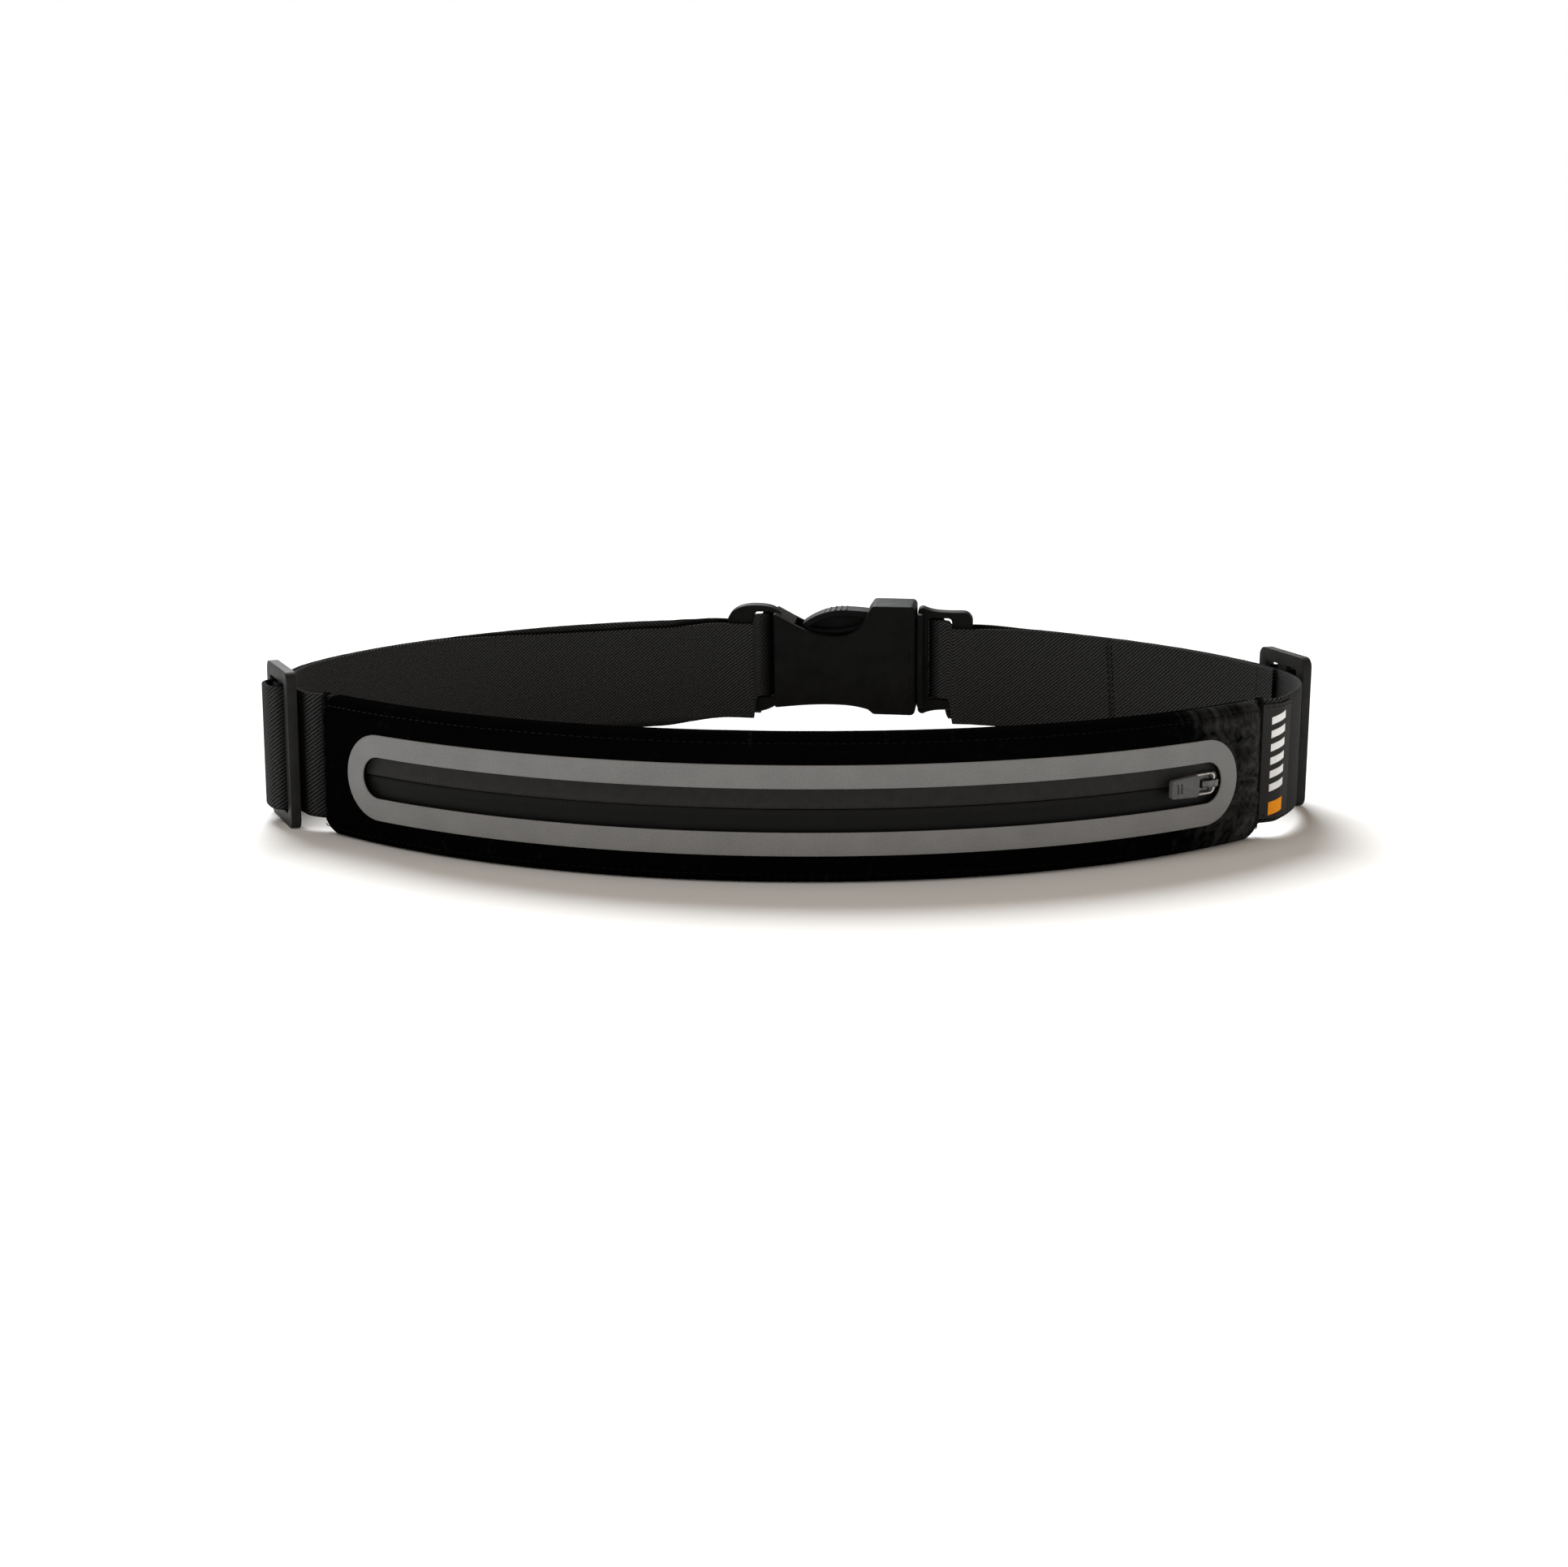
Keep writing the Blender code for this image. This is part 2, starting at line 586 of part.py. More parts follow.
def buckle_matrix():
    """Buckle frame: X to the right along the chord, Y outwards, Z up along the leaning buckle."""
    turn = math.asin(BUCKLE_X / BACK_RADIUS)
    outward = Vector((math.sin(turn), math.cos(turn), 0.0))
    centre = BACK_CENTRE + outward * (BACK_RADIUS - BUCKLE_INSET)
    place = Matrix.Translation((centre.x, centre.y, BUCKLE_Z))
    return place @ Matrix.Rotation(-turn, 4, 'Z') @ Matrix.Rotation(BUCKLE_LEAN, 4, 'X')


def hermite_run(start, end, start_direction, end_direction, steps):
    """Cross-sections on a smooth curve between two given ones, ends left out."""
    reach = (end[0] - start[0]).length
    run = []
    for i in range(1, steps):
        t = i / steps
        point = blend(start[0], end[0], 3 * t ** 2 - 2 * t ** 3)
        point += start_direction * (reach * (t ** 3 - 2 * t ** 2 + t))
        point += end_direction * (reach * (t ** 3 - t ** 2))
        run.append((point, blend(start[1], end[1], t).normalized(), blend(start[2], end[2], t)))
    return run


def bar_loop(matrix, bar_edge, away, facing):
    """The strap's fold round a bar, from its outer face through the slot to its inner face.

    bar_edge is the bar's edge at the slot, away is how far the strap lies on the bar and
    facing is +1 where the slot is to the right of the bar.
    """
    radius = FRAME_HALF_THICK + GAP + STRAP_THICK / 2
    across = (matrix.to_3x3() @ UP).normalized()
    wide = (STRAP_SAG, STRAP_WIDTH / 2 - 0.7 * MM)
    narrow = (-0.8 * MM, PLUG_SLOT_HALF_HEIGHT - 1.3 * MM)
    corner = bar_edge - facing * radius * 0.3
    plan = [(bar_edge - facing * away, radius, wide), (bar_edge - facing * away * 0.45, radius, wide)]
    for i in range(7):
        angle = math.radians(90 - 30 * i)
        share = 1.0 if 0 < i < 6 else 0.6
        squeeze = (blend(wide[0], narrow[0], share), blend(wide[1], narrow[1], share))
        plan.append((corner + facing * radius * math.cos(angle), radius * math.sin(angle), squeeze))
    plan += [(bar_edge - facing * away * 0.45, -radius, wide), (bar_edge - facing * away, -radius, wide)]
    return [(matrix @ Vector((u, v, shape[0])), across, shape[1]) for u, v, shape in plan]


def ring_run(start, end, out, steps):
    """Cross-sections on the ring between two arc lengths, at a constant distance out."""
    return [strap_station(blend(start, end, i / steps), out) for i in range(steps + 1)]


def ring_direction(s):
    """Unit direction of travel away from the front's middle."""
    _, _, heading = ring_heading(s)
    side = 1.0 if s >= 0.0 else -1.0
    return Vector((side * math.cos(heading), math.sin(heading), 0.0))


def glide_frame(name, heading, side):
    """Frame on a side arc: X along the strap, Y inwards, Z up. Its parent is on the joint's axis."""
    axis = add_empty(name + "_axis", Matrix.Translation((side * SIDE_X, SIDE_Y, 0.0)))
    frame = add_empty(name + "_frame", Matrix.Identity(4))
    frame.parent = axis
    frame.rotation_euler = (0.0, 0.0, side * heading)
    return frame


def build_glide(side_name, heading, side):
    """Tri-glide frame, the webbing end on its centre bar and the webbing that crosses it."""
    frame = glide_frame("tri_glide_" + side_name, heading, side)
    low = -(SIDE_RADIUS + GLIDE_INNER + GLIDE_THICK)
    high = -(SIDE_RADIUS + GLIDE_INNER)
    outline = [(u, w + GLIDE_HALF_HEIGHT) for u, w in
               rounded_rectangle(GLIDE_HALF_LENGTH, GLIDE_HALF_HEIGHT, GLIDE_CORNER, 3)]
    slot_inner = GLIDE_CENTRE_BAR / 2
    slot_outer = GLIDE_HALF_LENGTH - GLIDE_END_BAR
    slot_half = (slot_outer - slot_inner) / 2
    holes = []
    for sign in (-1, 1):
        middle = (sign * (slot_inner + slot_half), GLIDE_HALF_HEIGHT)
        holes.append(rounded_rectangle(slot_half, GLIDE_HALF_HEIGHT - GLIDE_RAIL, 1.2 * MM, 2, middle))
    body = slab("tri_glide_" + side_name, outline, holes, low, high, "glide_plastic", frame)
    recesses = (("front", (low - MM, low + GLIDE_RECESS)), ("back", (high - 0.4 * MM, high + MM)))
    for suffix, v_range in recesses:
        cut = box("glide_recess_%s_%s" % (side_name, suffix), (-slot_inner - MM, slot_inner + MM), v_range,
                  (GLIDE_RAIL, 2 * GLIDE_HALF_HEIGHT - GLIDE_RAIL), "glide_plastic", frame)
        add_boolean(body, cut, 'DIFFERENCE')
    add_bevel(body, 0.5 * MM, 1)
    anchor_v = low + GLIDE_RECESS - GAP - ANCHOR_THICK / 2
    anchor_half = slot_inner + GAP + ANCHOR_THICK / 2
    middle_z = STRAP_Z_SIDE + 0.3 * MM
    anchor_foot = high - 0.6 * MM
    turn = 0.5 * MM
    anchor = [(-anchor_half, anchor_foot), (-anchor_half, anchor_v + turn), (turn - anchor_half, anchor_v)]
    anchor += [(-u, v) for u, v in reversed(anchor)]
    anchor_path = [(Vector((u, v, middle_z)), UP, STRAP_WIDTH / 2) for u, v in anchor]
    ribbon("strap_%s_anchor" % side_name, anchor_path, "webbing", ANCHOR_THICK, frame)
    top = anchor_v - ANCHOR_THICK / 2 - GAP - STRAP_THICK / 2
    foot = -(SIDE_RADIUS + LAYER + STRAP_THICK / 2 + GAP + 0.5 * MM)
    crossing = [(-8.4 * MM, foot), (-7.9 * MM, blend(foot, top, 0.3)), (-6.6 * MM, blend(foot, top, 0.72)),
                (-4.2 * MM, blend(foot, top, 0.97)), (0.0, top)]
    crossing += [(-u, v) for u, v in reversed(crossing[:-1])]
    crossing_path = [(Vector((u, v, middle_z)), UP, STRAP_WIDTH / 2) for u, v in crossing]
    ribbon("strap_%s_crossing" % side_name, crossing_path, "webbing", STRAP_THICK, frame)


def build_straps(matrix):
    """Left webbing in one piece, right webbing in three: outer run, inner run and buckle loop."""
    out_direction = (matrix.to_3x3() @ Vector((1.0, 0.0, 0.0))).normalized()
    start = POUCH_HALF_LENGTH + GAP
    curved_end = start + LEAD_LENGTH
    left_bar = matrix @ Vector((-BUCKLE_HALF_LENGTH, 0.0, 0.0))
    right_bar = matrix @ Vector((BUCKLE_HALF_LENGTH, 0.0, 0.0))

    def distance_at(point):
        angle = math.atan2(abs(point.x), point.y - BACK_CENTRE.y)
        return FRONT_LENGTH + SIDE_LENGTH + BACK_RADIUS * (math.pi - angle - SIDE_END_ANGLE)

    def lead(side):
        stations = []
        for i in range(LEAD_STEPS):
            distance = blend(start, curved_end, i / LEAD_STEPS)
            stations.append(strap_station(side * distance, strap_out(distance)))
        return stations

    left_leave = distance_at(left_bar) - BUCKLE_APPROACH
    outer = lead(-1.0) + ring_run(-curved_end, -left_leave, LAYER, 30)
    loop = bar_loop(matrix, SOCKET_BAR_RIGHT, BUCKLE_HALF_LENGTH + SOCKET_BAR_RIGHT, 1)
    inner_start = -side_distance(GLIDE_LEFT_ANGLE)
    inner = ring_run(-left_leave, inner_start, -LAYER, 26)
    path = outer + hermite_run(outer[-1], loop[0], ring_direction(-left_leave), out_direction, 5) + loop
    path += hermite_run(loop[-1], inner[0], -out_direction, -ring_direction(-left_leave), 5) + inner
    ribbon("strap_left", path, "webbing")

    seam = distance_at(right_bar) - SEAM_BEFORE_BUCKLE
    ribbon("strap_right", lead(1.0) + ring_run(curved_end, seam, LAYER, 22), "webbing")
    ribbon("strap_right_return", ring_run(side_distance(GLIDE_RIGHT_ANGLE), seam, -LAYER, 8), "webbing")
    loop = bar_loop(matrix, PLUG_BAR_LEFT, BUCKLE_HALF_LENGTH - PLUG_BAR_LEFT, -1)
    right_leave = distance_at(right_bar) - BUCKLE_APPROACH
    outer = ring_run(seam + GAP, right_leave, LAYER, 4)
    inner = ring_run(right_leave, seam + GAP, -LAYER, 4)
    path = outer + hermite_run(outer[-1], loop[0], ring_direction(right_leave), -out_direction, 5) + loop
    path += hermite_run(loop[-1], inner[0], out_direction, -ring_direction(right_leave), 5) + inner
    ribbon("strap_right_loop", path, "webbing")


def build_label():
    """Woven label on the right strap's outer face, close to the pouch."""
    lift = STRAP_THICK / 2 + GAP + LABEL_THICK / 2
    path = []
    for i in range(LABEL_STEPS + 1):
        distance = LABEL_START + LABEL_LENGTH * i / LABEL_STEPS
        point, across, _ = strap_station(distance, strap_out(distance) + lift)
        path.append((point, across, LABEL_HALF_HEIGHT))
    ribbon("strap_label", path, "label", LABEL_THICK)


# ---------------------------------------------------------------- buckle

def waist_curve():
    """Upper edge of the socket's plates, from the web end to the collar, falling in between."""
    shoulder = 17.0 * MM
    low_point = (-5.0 * MM, WAIST_HALF_HEIGHT)
    left = bezier((BODY_LEFT, shoulder), (-19.0 * MM, 12.6 * MM),
                  (-14.0 * MM, WAIST_HALF_HEIGHT), low_point, 7)
    right = bezier(low_point, (2.5 * MM, WAIST_HALF_HEIGHT), (5.0 * MM, 12.5 * MM),
                   (COLLAR_LEFT, BUCKLE_HALF_HEIGHT), 7)
    return left + right + [(COLLAR_LEFT, BUCKLE_HALF_HEIGHT)]


def mirrored(points):
    """Close an upper edge with its mirror image below."""
    return points + [(u, -w) for u, w in reversed(points)]


def build_socket(frame):
    """Socket: flat tube with waisted plates, a collar and the web frame."""
    outline = mirrored(waist_curve() + [(BODY_RIGHT, BUCKLE_HALF_HEIGHT)])
    half_thick = BUCKLE_HALF_THICK
    socket = slab("buckle_socket", outline, [], -half_thick, half_thick, "buckle_plastic", frame)
    add_bevel(socket, 1.6 * MM, 3)
    inner_thick = half_thick - BUCKLE_WALL
    inner_high = BUCKLE_HALF_HEIGHT - BUCKLE_WALL
    cavity = box("socket_cavity_tool", (-20.0 * MM, BODY_RIGHT + MM), (-inner_thick, inner_thick),
                 (-inner_high, inner_high), "buckle_plastic", frame)
    add_boolean(socket, cavity, 'DIFFERENCE')
    left = -BUCKLE_HALF_LENGTH
    rail = 19.6 * MM
    upper = bezier((left, 16.5 * MM), (left, 19.5 * MM), (-40.0 * MM, rail), (-35.5 * MM, rail), 5)
    rail_end = (-24.5 * MM, 14.5 * MM)
    upper += bezier((-35.5 * MM, rail), (-30.5 * MM, rail), (-27.5 * MM, 18.2 * MM), rail_end, 5)
    upper += [rail_end]
    slot_half = (BODY_LEFT - SOCKET_BAR_RIGHT) / 2
    hole = rounded_rectangle(slot_half, SLOT_HALF_HEIGHT, 1.5 * MM, 2, (BODY_LEFT - slot_half, 0.0))
    web = slab("socket_web_tool", mirrored(upper), [hole], -FRAME_HALF_THICK, FRAME_HALF_THICK,
               "buckle_plastic", frame)
    add_bevel(web, 0.9 * MM, 2)
    add_boolean(socket, web, 'UNION')


def build_plug(frame):
    """Plug: web frame, the block that enters the collar and the central tongue."""
    left = BODY_RIGHT + 2 * GAP
    right = BUCKLE_HALF_LENGTH
    upper = [(left, 18.4 * MM), (left + 1.0 * MM, 19.4 * MM)]
    upper += bezier((left + 2.0 * MM, 19.4 * MM), (31.0 * MM, 17.4 * MM), (36.0 * MM, 17.9 * MM),
                    (41.5 * MM, 17.9 * MM), 5)
    upper += arc_points((41.5 * MM, 14.4 * MM), 3.5 * MM, 90, 0, 4)
    slot_half = (PLUG_BAR_LEFT - PLUG_SLOT_LEFT) / 2
    hole = rounded_rectangle(slot_half, PLUG_SLOT_HALF_HEIGHT, 1.5 * MM, 2, (PLUG_SLOT_LEFT + slot_half, 0.0))
    plug = slab("buckle_plug", mirrored(upper), [hole], -FRAME_HALF_THICK, FRAME_HALF_THICK,
                "buckle_plastic", frame)
    add_bevel(plug, 0.9 * MM, 2)
    overlap = 1.5 * MM
    blocks = (("block", (13.0 * MM, left + overlap), 3.4 * MM, 10.0 * MM),
              ("tongue", (-9.0 * MM, 14.0 * MM), 1.6 * MM, 3.4 * MM),
              ("flange", (left, left + 2.2 * MM), 5.6 * MM, 17.6 * MM))
    for part, u_range, half_v, half_w in blocks:
        v_range, w_range = (-half_v, half_v), (-half_w, half_w)
        tool = box("plug_%s_tool" % part, u_range, v_range, w_range, "buckle_plastic", frame)
        add_boolean(plug, tool, 'UNION')


def strip_outline(centre_line, half_width):
    """Outline of a strip of constant width along an open plane line."""
    left, right = [], []
    for i, (u, w) in enumerate(centre_line):
        ahead = centre_line[min(i + 1, len(centre_line) - 1)]
        behind = centre_line[max(i - 1, 0)]
        along = Vector((ahead[0] - behind[0], ahead[1] - behind[1])).normalized() * half_width
        left.append((u - along.y, w + along.x))
        right.append((u + along.y, w - along.x))
    return left + right[::-1]


def build_arm(name, sign, buckle_frame):
    """Spring arm: an outer strip that bows out to the finger pad and an inner strip that backs it."""
    root = Vector((ARM_ROOT.x, 0.0, sign * ARM_ROOT.z))
    pivot = add_empty(name + "_pivot", buckle_frame.matrix_world @ Matrix.Translation(root))

    def local(points):
        return [(u - ARM_ROOT.x, sign * (w - ARM_ROOT.z)) for u, w in points]

    pad = (-2.0 * MM, 16.9 * MM)
    hook = (-16.5 * MM, 11.4 * MM)
    outer = bezier((24.0 * MM, 14.5 * MM), (12.0 * MM, 15.6 * MM), (6.0 * MM, 17.0 * MM), pad, 6)
    outer += bezier(pad, (-8.0 * MM, 16.8 * MM), (-13.0 * MM, 14.4 * MM), hook, 6)
    outer.append(hook)
    dip = (0.0, 10.4 * MM)
    inner = bezier((-16.2 * MM, 11.3 * MM), (-12.0 * MM, 9.2 * MM), (-6.0 * MM, 9.0 * MM), dip, 6)
    inner += bezier(dip, (4.0 * MM, 11.4 * MM), (7.0 * MM, 13.2 * MM), (10.0 * MM, 15.4 * MM), 5)
    half_width = ARM_WIDTH / 2
    arm = slab(name, strip_outline(local(outer), half_width), [], -ARM_HALF_THICK, ARM_HALF_THICK,
               "buckle_plastic", pivot)
    strand = slab(name + "_strand_tool", strip_outline(local(inner), half_width * 0.8), [],
                  -ARM_HALF_THICK + 0.2 * MM, ARM_HALF_THICK - 0.2 * MM, "buckle_plastic", pivot)
    add_bevel(arm, 0.5 * MM, 1)
    add_boolean(arm, strand, 'UNION')


def build_buckle(matrix):
    """Socket, plug and the plug's two arms."""
    frame = add_empty("buckle_frame", matrix)
    bpy.context.view_layer.update()
    build_socket(frame)
    build_plug(frame)
    build_arm("buckle_arm_upper", 1, frame)
    build_arm("buckle_arm_lower", -1, frame)


def main():
    clear_scene()
    matrix = buckle_matrix()
    build_pouch()
    build_zip()
    build_straps(matrix)
    build_label()
    build_glide("left", GLIDE_LEFT_ANGLE, -1.0)
    build_glide("right", GLIDE_RIGHT_ANGLE, 1.0)
    build_buckle(matrix)


main()
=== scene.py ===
"""The money belt's looks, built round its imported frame: fabric, webbing, film, zip and moulded plastic.

The belt is a ring of tangent arcs standing on edge. The pouch faces -Y and +X is to its right.
Lengths are in millimetres and become metres when a mesh is made. Surfaces carry their arc length
and height as UV in metres, so weaves keep their real scale.
"""
from math import asin, atan2, copysign, cos, exp, pi, radians, sin, sqrt, tau

import bmesh
import bpy
from mathutils import Matrix, Vector, noise


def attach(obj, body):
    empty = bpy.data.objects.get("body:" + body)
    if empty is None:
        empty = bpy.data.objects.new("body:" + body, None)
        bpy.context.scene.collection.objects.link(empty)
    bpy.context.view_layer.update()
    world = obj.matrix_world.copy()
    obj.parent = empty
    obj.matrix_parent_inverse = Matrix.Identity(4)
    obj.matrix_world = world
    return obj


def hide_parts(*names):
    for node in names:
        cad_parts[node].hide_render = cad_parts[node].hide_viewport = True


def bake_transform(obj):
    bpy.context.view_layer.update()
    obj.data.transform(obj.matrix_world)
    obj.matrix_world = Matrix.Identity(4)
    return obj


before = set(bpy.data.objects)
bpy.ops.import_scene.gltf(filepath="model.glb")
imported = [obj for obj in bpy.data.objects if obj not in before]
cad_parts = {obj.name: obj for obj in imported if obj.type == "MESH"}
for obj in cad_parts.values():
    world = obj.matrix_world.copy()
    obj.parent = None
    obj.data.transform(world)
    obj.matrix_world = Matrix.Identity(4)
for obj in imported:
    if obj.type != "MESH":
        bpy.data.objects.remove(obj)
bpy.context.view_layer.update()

MM = 0.001
UP = Vector((0.0, 0.0, 1.0))

# Webbing: width, thickness, gap between its two layers and its height round the ring
STRAP_WIDTH = 38.0
STRAP_THICK = 1.25
LAYER = 0.8
STRAP_Z_POUCH = 22.5
STRAP_Z_SIDE = 23.5
STRAP_Z_BUCKLE = 23.8

# Ring in plan
FRONT_RADIUS = 203.5
FRONT_HALF_ANGLE = radians(44.3)
SIDE_RADIUS = 50.0
RING_DEPTH = 217.8
FRONT_CENTRE = Vector((0.0, FRONT_RADIUS - RING_DEPTH / 2, 0.0))
SIDE_X = (FRONT_RADIUS - SIDE_RADIUS) * sin(FRONT_HALF_ANGLE)
SIDE_Y = FRONT_CENTRE.y - (FRONT_RADIUS - SIDE_RADIUS) * cos(FRONT_HALF_ANGLE)
BACK_REACH = RING_DEPTH / 2 - SIDE_Y
BACK_RADIUS = (SIDE_X ** 2 + BACK_REACH ** 2 - SIDE_RADIUS ** 2) / (2 * (BACK_REACH - SIDE_RADIUS))
BACK_CENTRE = Vector((0.0, RING_DEPTH / 2 - BACK_RADIUS, 0.0))
SIDE_END_ANGLE = pi - atan2(SIDE_X, SIDE_Y - BACK_CENTRE.y)
FRONT_LENGTH = FRONT_RADIUS * FRONT_HALF_ANGLE
SIDE_LENGTH = SIDE_RADIUS * (SIDE_END_ANGLE - FRONT_HALF_ANGLE)
BACK_START = FRONT_LENGTH + SIDE_LENGTH

# Pouch
POUCH_HALF_LENGTH = 150.6
POUCH_HALF_HEIGHT = 21.0
POUCH_CORNER = 4.0
POUCH_INSET = -2.7
FRONT_BULGE = 5.2
BACK_BULGE = 4.6
POUCH_WALL = 1.0
SHOULDER = 7.5
POUCH_REACH = POUCH_HALF_LENGTH + 3.3
SEAM_GAP = 0.1
SEAM_RISE = 0.8
TRIM_HALF_LENGTH = 138.9
TRIM_HALF_HEIGHT = 12.7
TRIM_BAND = 6.6
TRIM_THICK = 0.35
WINDOW_HALF_LENGTH = TRIM_HALF_LENGTH - TRIM_BAND
WINDOW_HALF_HEIGHT = TRIM_HALF_HEIGHT - TRIM_BAND
POUCH_FACE = POUCH_INSET + FRONT_BULGE
BINDING_LENGTH = 3.0
SLEEVE_LENGTH = 1.3
CURVED_END = POUCH_HALF_LENGTH + 14.3

# Label on the right strap
LABEL_FROM = POUCH_HALF_LENGTH + 5.3
LABEL_TO = POUCH_HALF_LENGTH + 16.5
LABEL_LIFT = STRAP_THICK / 2 + 0.55

# Zip
TAPE_HALF_LENGTH = 137.0
COIL_HALF_LENGTH = 131.0
COIL_PITCH = 1.25
SLIDER_S = 126.9
SLIDER_HEIGHT = 6.6
PULL_WIRE_RADIUS = 0.42
PULL_PIVOT_U = 1.9
PULL_PIVOT_OUT = 3.05
PULL_LOOP_LENGTH = 9.1
PULL_TAB_LENGTH = 11.0

# Tri-glides
GLIDE_HALF_LENGTH = 14.0
GLIDE_HALF_HEIGHT = 24.0
GLIDE_RAIL = 4.0
GLIDE_END_BAR = 4.4
GLIDE_CENTRE_BAR = 5.0
GLIDE_INNER = 1.5
GLIDE_THICK = 3.0
GLIDE_FACE = SIDE_RADIUS + GLIDE_INNER + GLIDE_THICK
GLIDE_BACK = SIDE_RADIUS + GLIDE_INNER
GLIDE_LEFT_SLACK = 1.8
GLIDE_WEB_THICK = 1.2
GLIDE_LEFT_ANGLE = radians(65.0)
GLIDE_RIGHT_ANGLE = radians(107.0)

# Buckle
BUCKLE_X = 21.7
BUCKLE_Z = 29.6
BUCKLE_LEAN = radians(8.0)
BUCKLE_INSET = 5.4
BUCKLE_HALF_LENGTH = 45.0
BUCKLE_HALF_HEIGHT = 20.65
BUCKLE_HALF_THICK = 6.4
BODY_LEFT = -27.5
COLLAR_LEFT = 8.0
BODY_RIGHT = 24.5
WAIST_HALF_HEIGHT = 8.9
LOWER_WAIST = 17.4
SOCKET_BAR_RIGHT = -35.0
SOCKET_SLOT_RIGHT = BODY_LEFT - 0.35
FRAME_HALF_THICK = 2.2
SLOT_HALF_HEIGHT = 16.4
PLUG_SLOT_HALF_HEIGHT = 15.5
PLUG_SLOT_LEFT = 29.0
PLUG_BAR_LEFT = 37.5
STRAP_SAG = -6.1
LEAD_FROM_BAR = 26.0
SEAM_FROM_BAR = 57.0


# ---- curves and the ring

def smoothstep(low, high, value):
    t = min(max((value - low) / (high - low), 0.0), 1.0)
    return t * t * (3.0 - 2.0 * t)


def blend(a, b, t):
    return a + (b - a) * t


def spread(a, b, steps):
    """Evenly spaced values from a to b, both included."""
    return [blend(a, b, i / steps) for i in range(steps + 1)]


def both(reach):
    return -reach, reach


def mirrored(points):
    """The points with their second coordinate reversed, in reverse order."""
    return [(u, -w) for u, w in reversed(points)]


def circle(sides):
    return [(cos(tau * k / sides), sin(tau * k / sides)) for k in range(sides)]


def wave(x, y, z=0.0):
    """Smooth noise from -1 to 1."""
    return noise.noise(Vector((x, y, z)))


def ring_heading(s):
    """Arc centre, radius and outward heading at arc length s from the front's middle."""
    distance = abs(s)
    if distance <= FRONT_LENGTH:
        return FRONT_CENTRE, FRONT_RADIUS, distance / FRONT_RADIUS
    if distance <= BACK_START:
        heading = FRONT_HALF_ANGLE + (distance - FRONT_LENGTH) / SIDE_RADIUS
        return Vector((SIDE_X, SIDE_Y, 0.0)), SIDE_RADIUS, heading
    return BACK_CENTRE, BACK_RADIUS, SIDE_END_ANGLE + (distance - BACK_START) / BACK_RADIUS


def side_of(s):
    return 1.0 if s >= 0.0 else -1.0


def ring_normal(s):
    heading = ring_heading(s)[2]
    return Vector((side_of(s) * sin(heading), -cos(heading), 0.0))


def ring_direction(s):
    """Unit direction of travel away from the front's middle."""
    heading = ring_heading(s)[2]
    return Vector((side_of(s) * cos(heading), sin(heading), 0.0))


def ring_point(s, out, z):
    centre, radius, _ = ring_heading(s)
    return Vector((side_of(s) * centre.x, centre.y, z)) + ring_normal(s) * (radius + out)


def pouch_point(s, out, z):
    """A place on the ring with its height counted from the pouch's middle."""
    return ring_point(s, out, POUCH_HALF_HEIGHT + z)


def side_distance(heading):
    return FRONT_LENGTH + SIDE_RADIUS * (heading - FRONT_HALF_ANGLE)


def arc_points(centre, radius, start, end, steps):
    angles = [radians(angle) for angle in spread(start, end, steps)]
    return [(centre[0] + radius * cos(angle), centre[1] + radius * sin(angle)) for angle in angles]


def rounded_rectangle(half_u, half_w, corner, steps=8, centre=(0.0, 0.0)):
    points = []
    for sign_u, sign_w, start in ((1, 1, 0), (-1, 1, 90), (-1, -1, 180), (1, -1, 270)):
        middle = (centre[0] + sign_u * (half_u - corner), centre[1] + sign_w * (half_w - corner))
        points += arc_points(middle, corner, start, start + 90, steps)
    return points


def bezier(p0, p1, p2, p3, steps):
    """Points on a plane cubic curve, without its last point."""
    points = []
    for t in spread(0.0, 1.0, steps)[:-1]:
        k = ((1 - t) ** 3, 3 * t * (1 - t) ** 2, 3 * t * t * (1 - t), t ** 3)
        points.append(tuple(k[0] * p0[j] + k[1] * p1[j] + k[2] * p2[j] + k[3] * p3[j] for j in (0, 1)))
    return points


# ---- materials

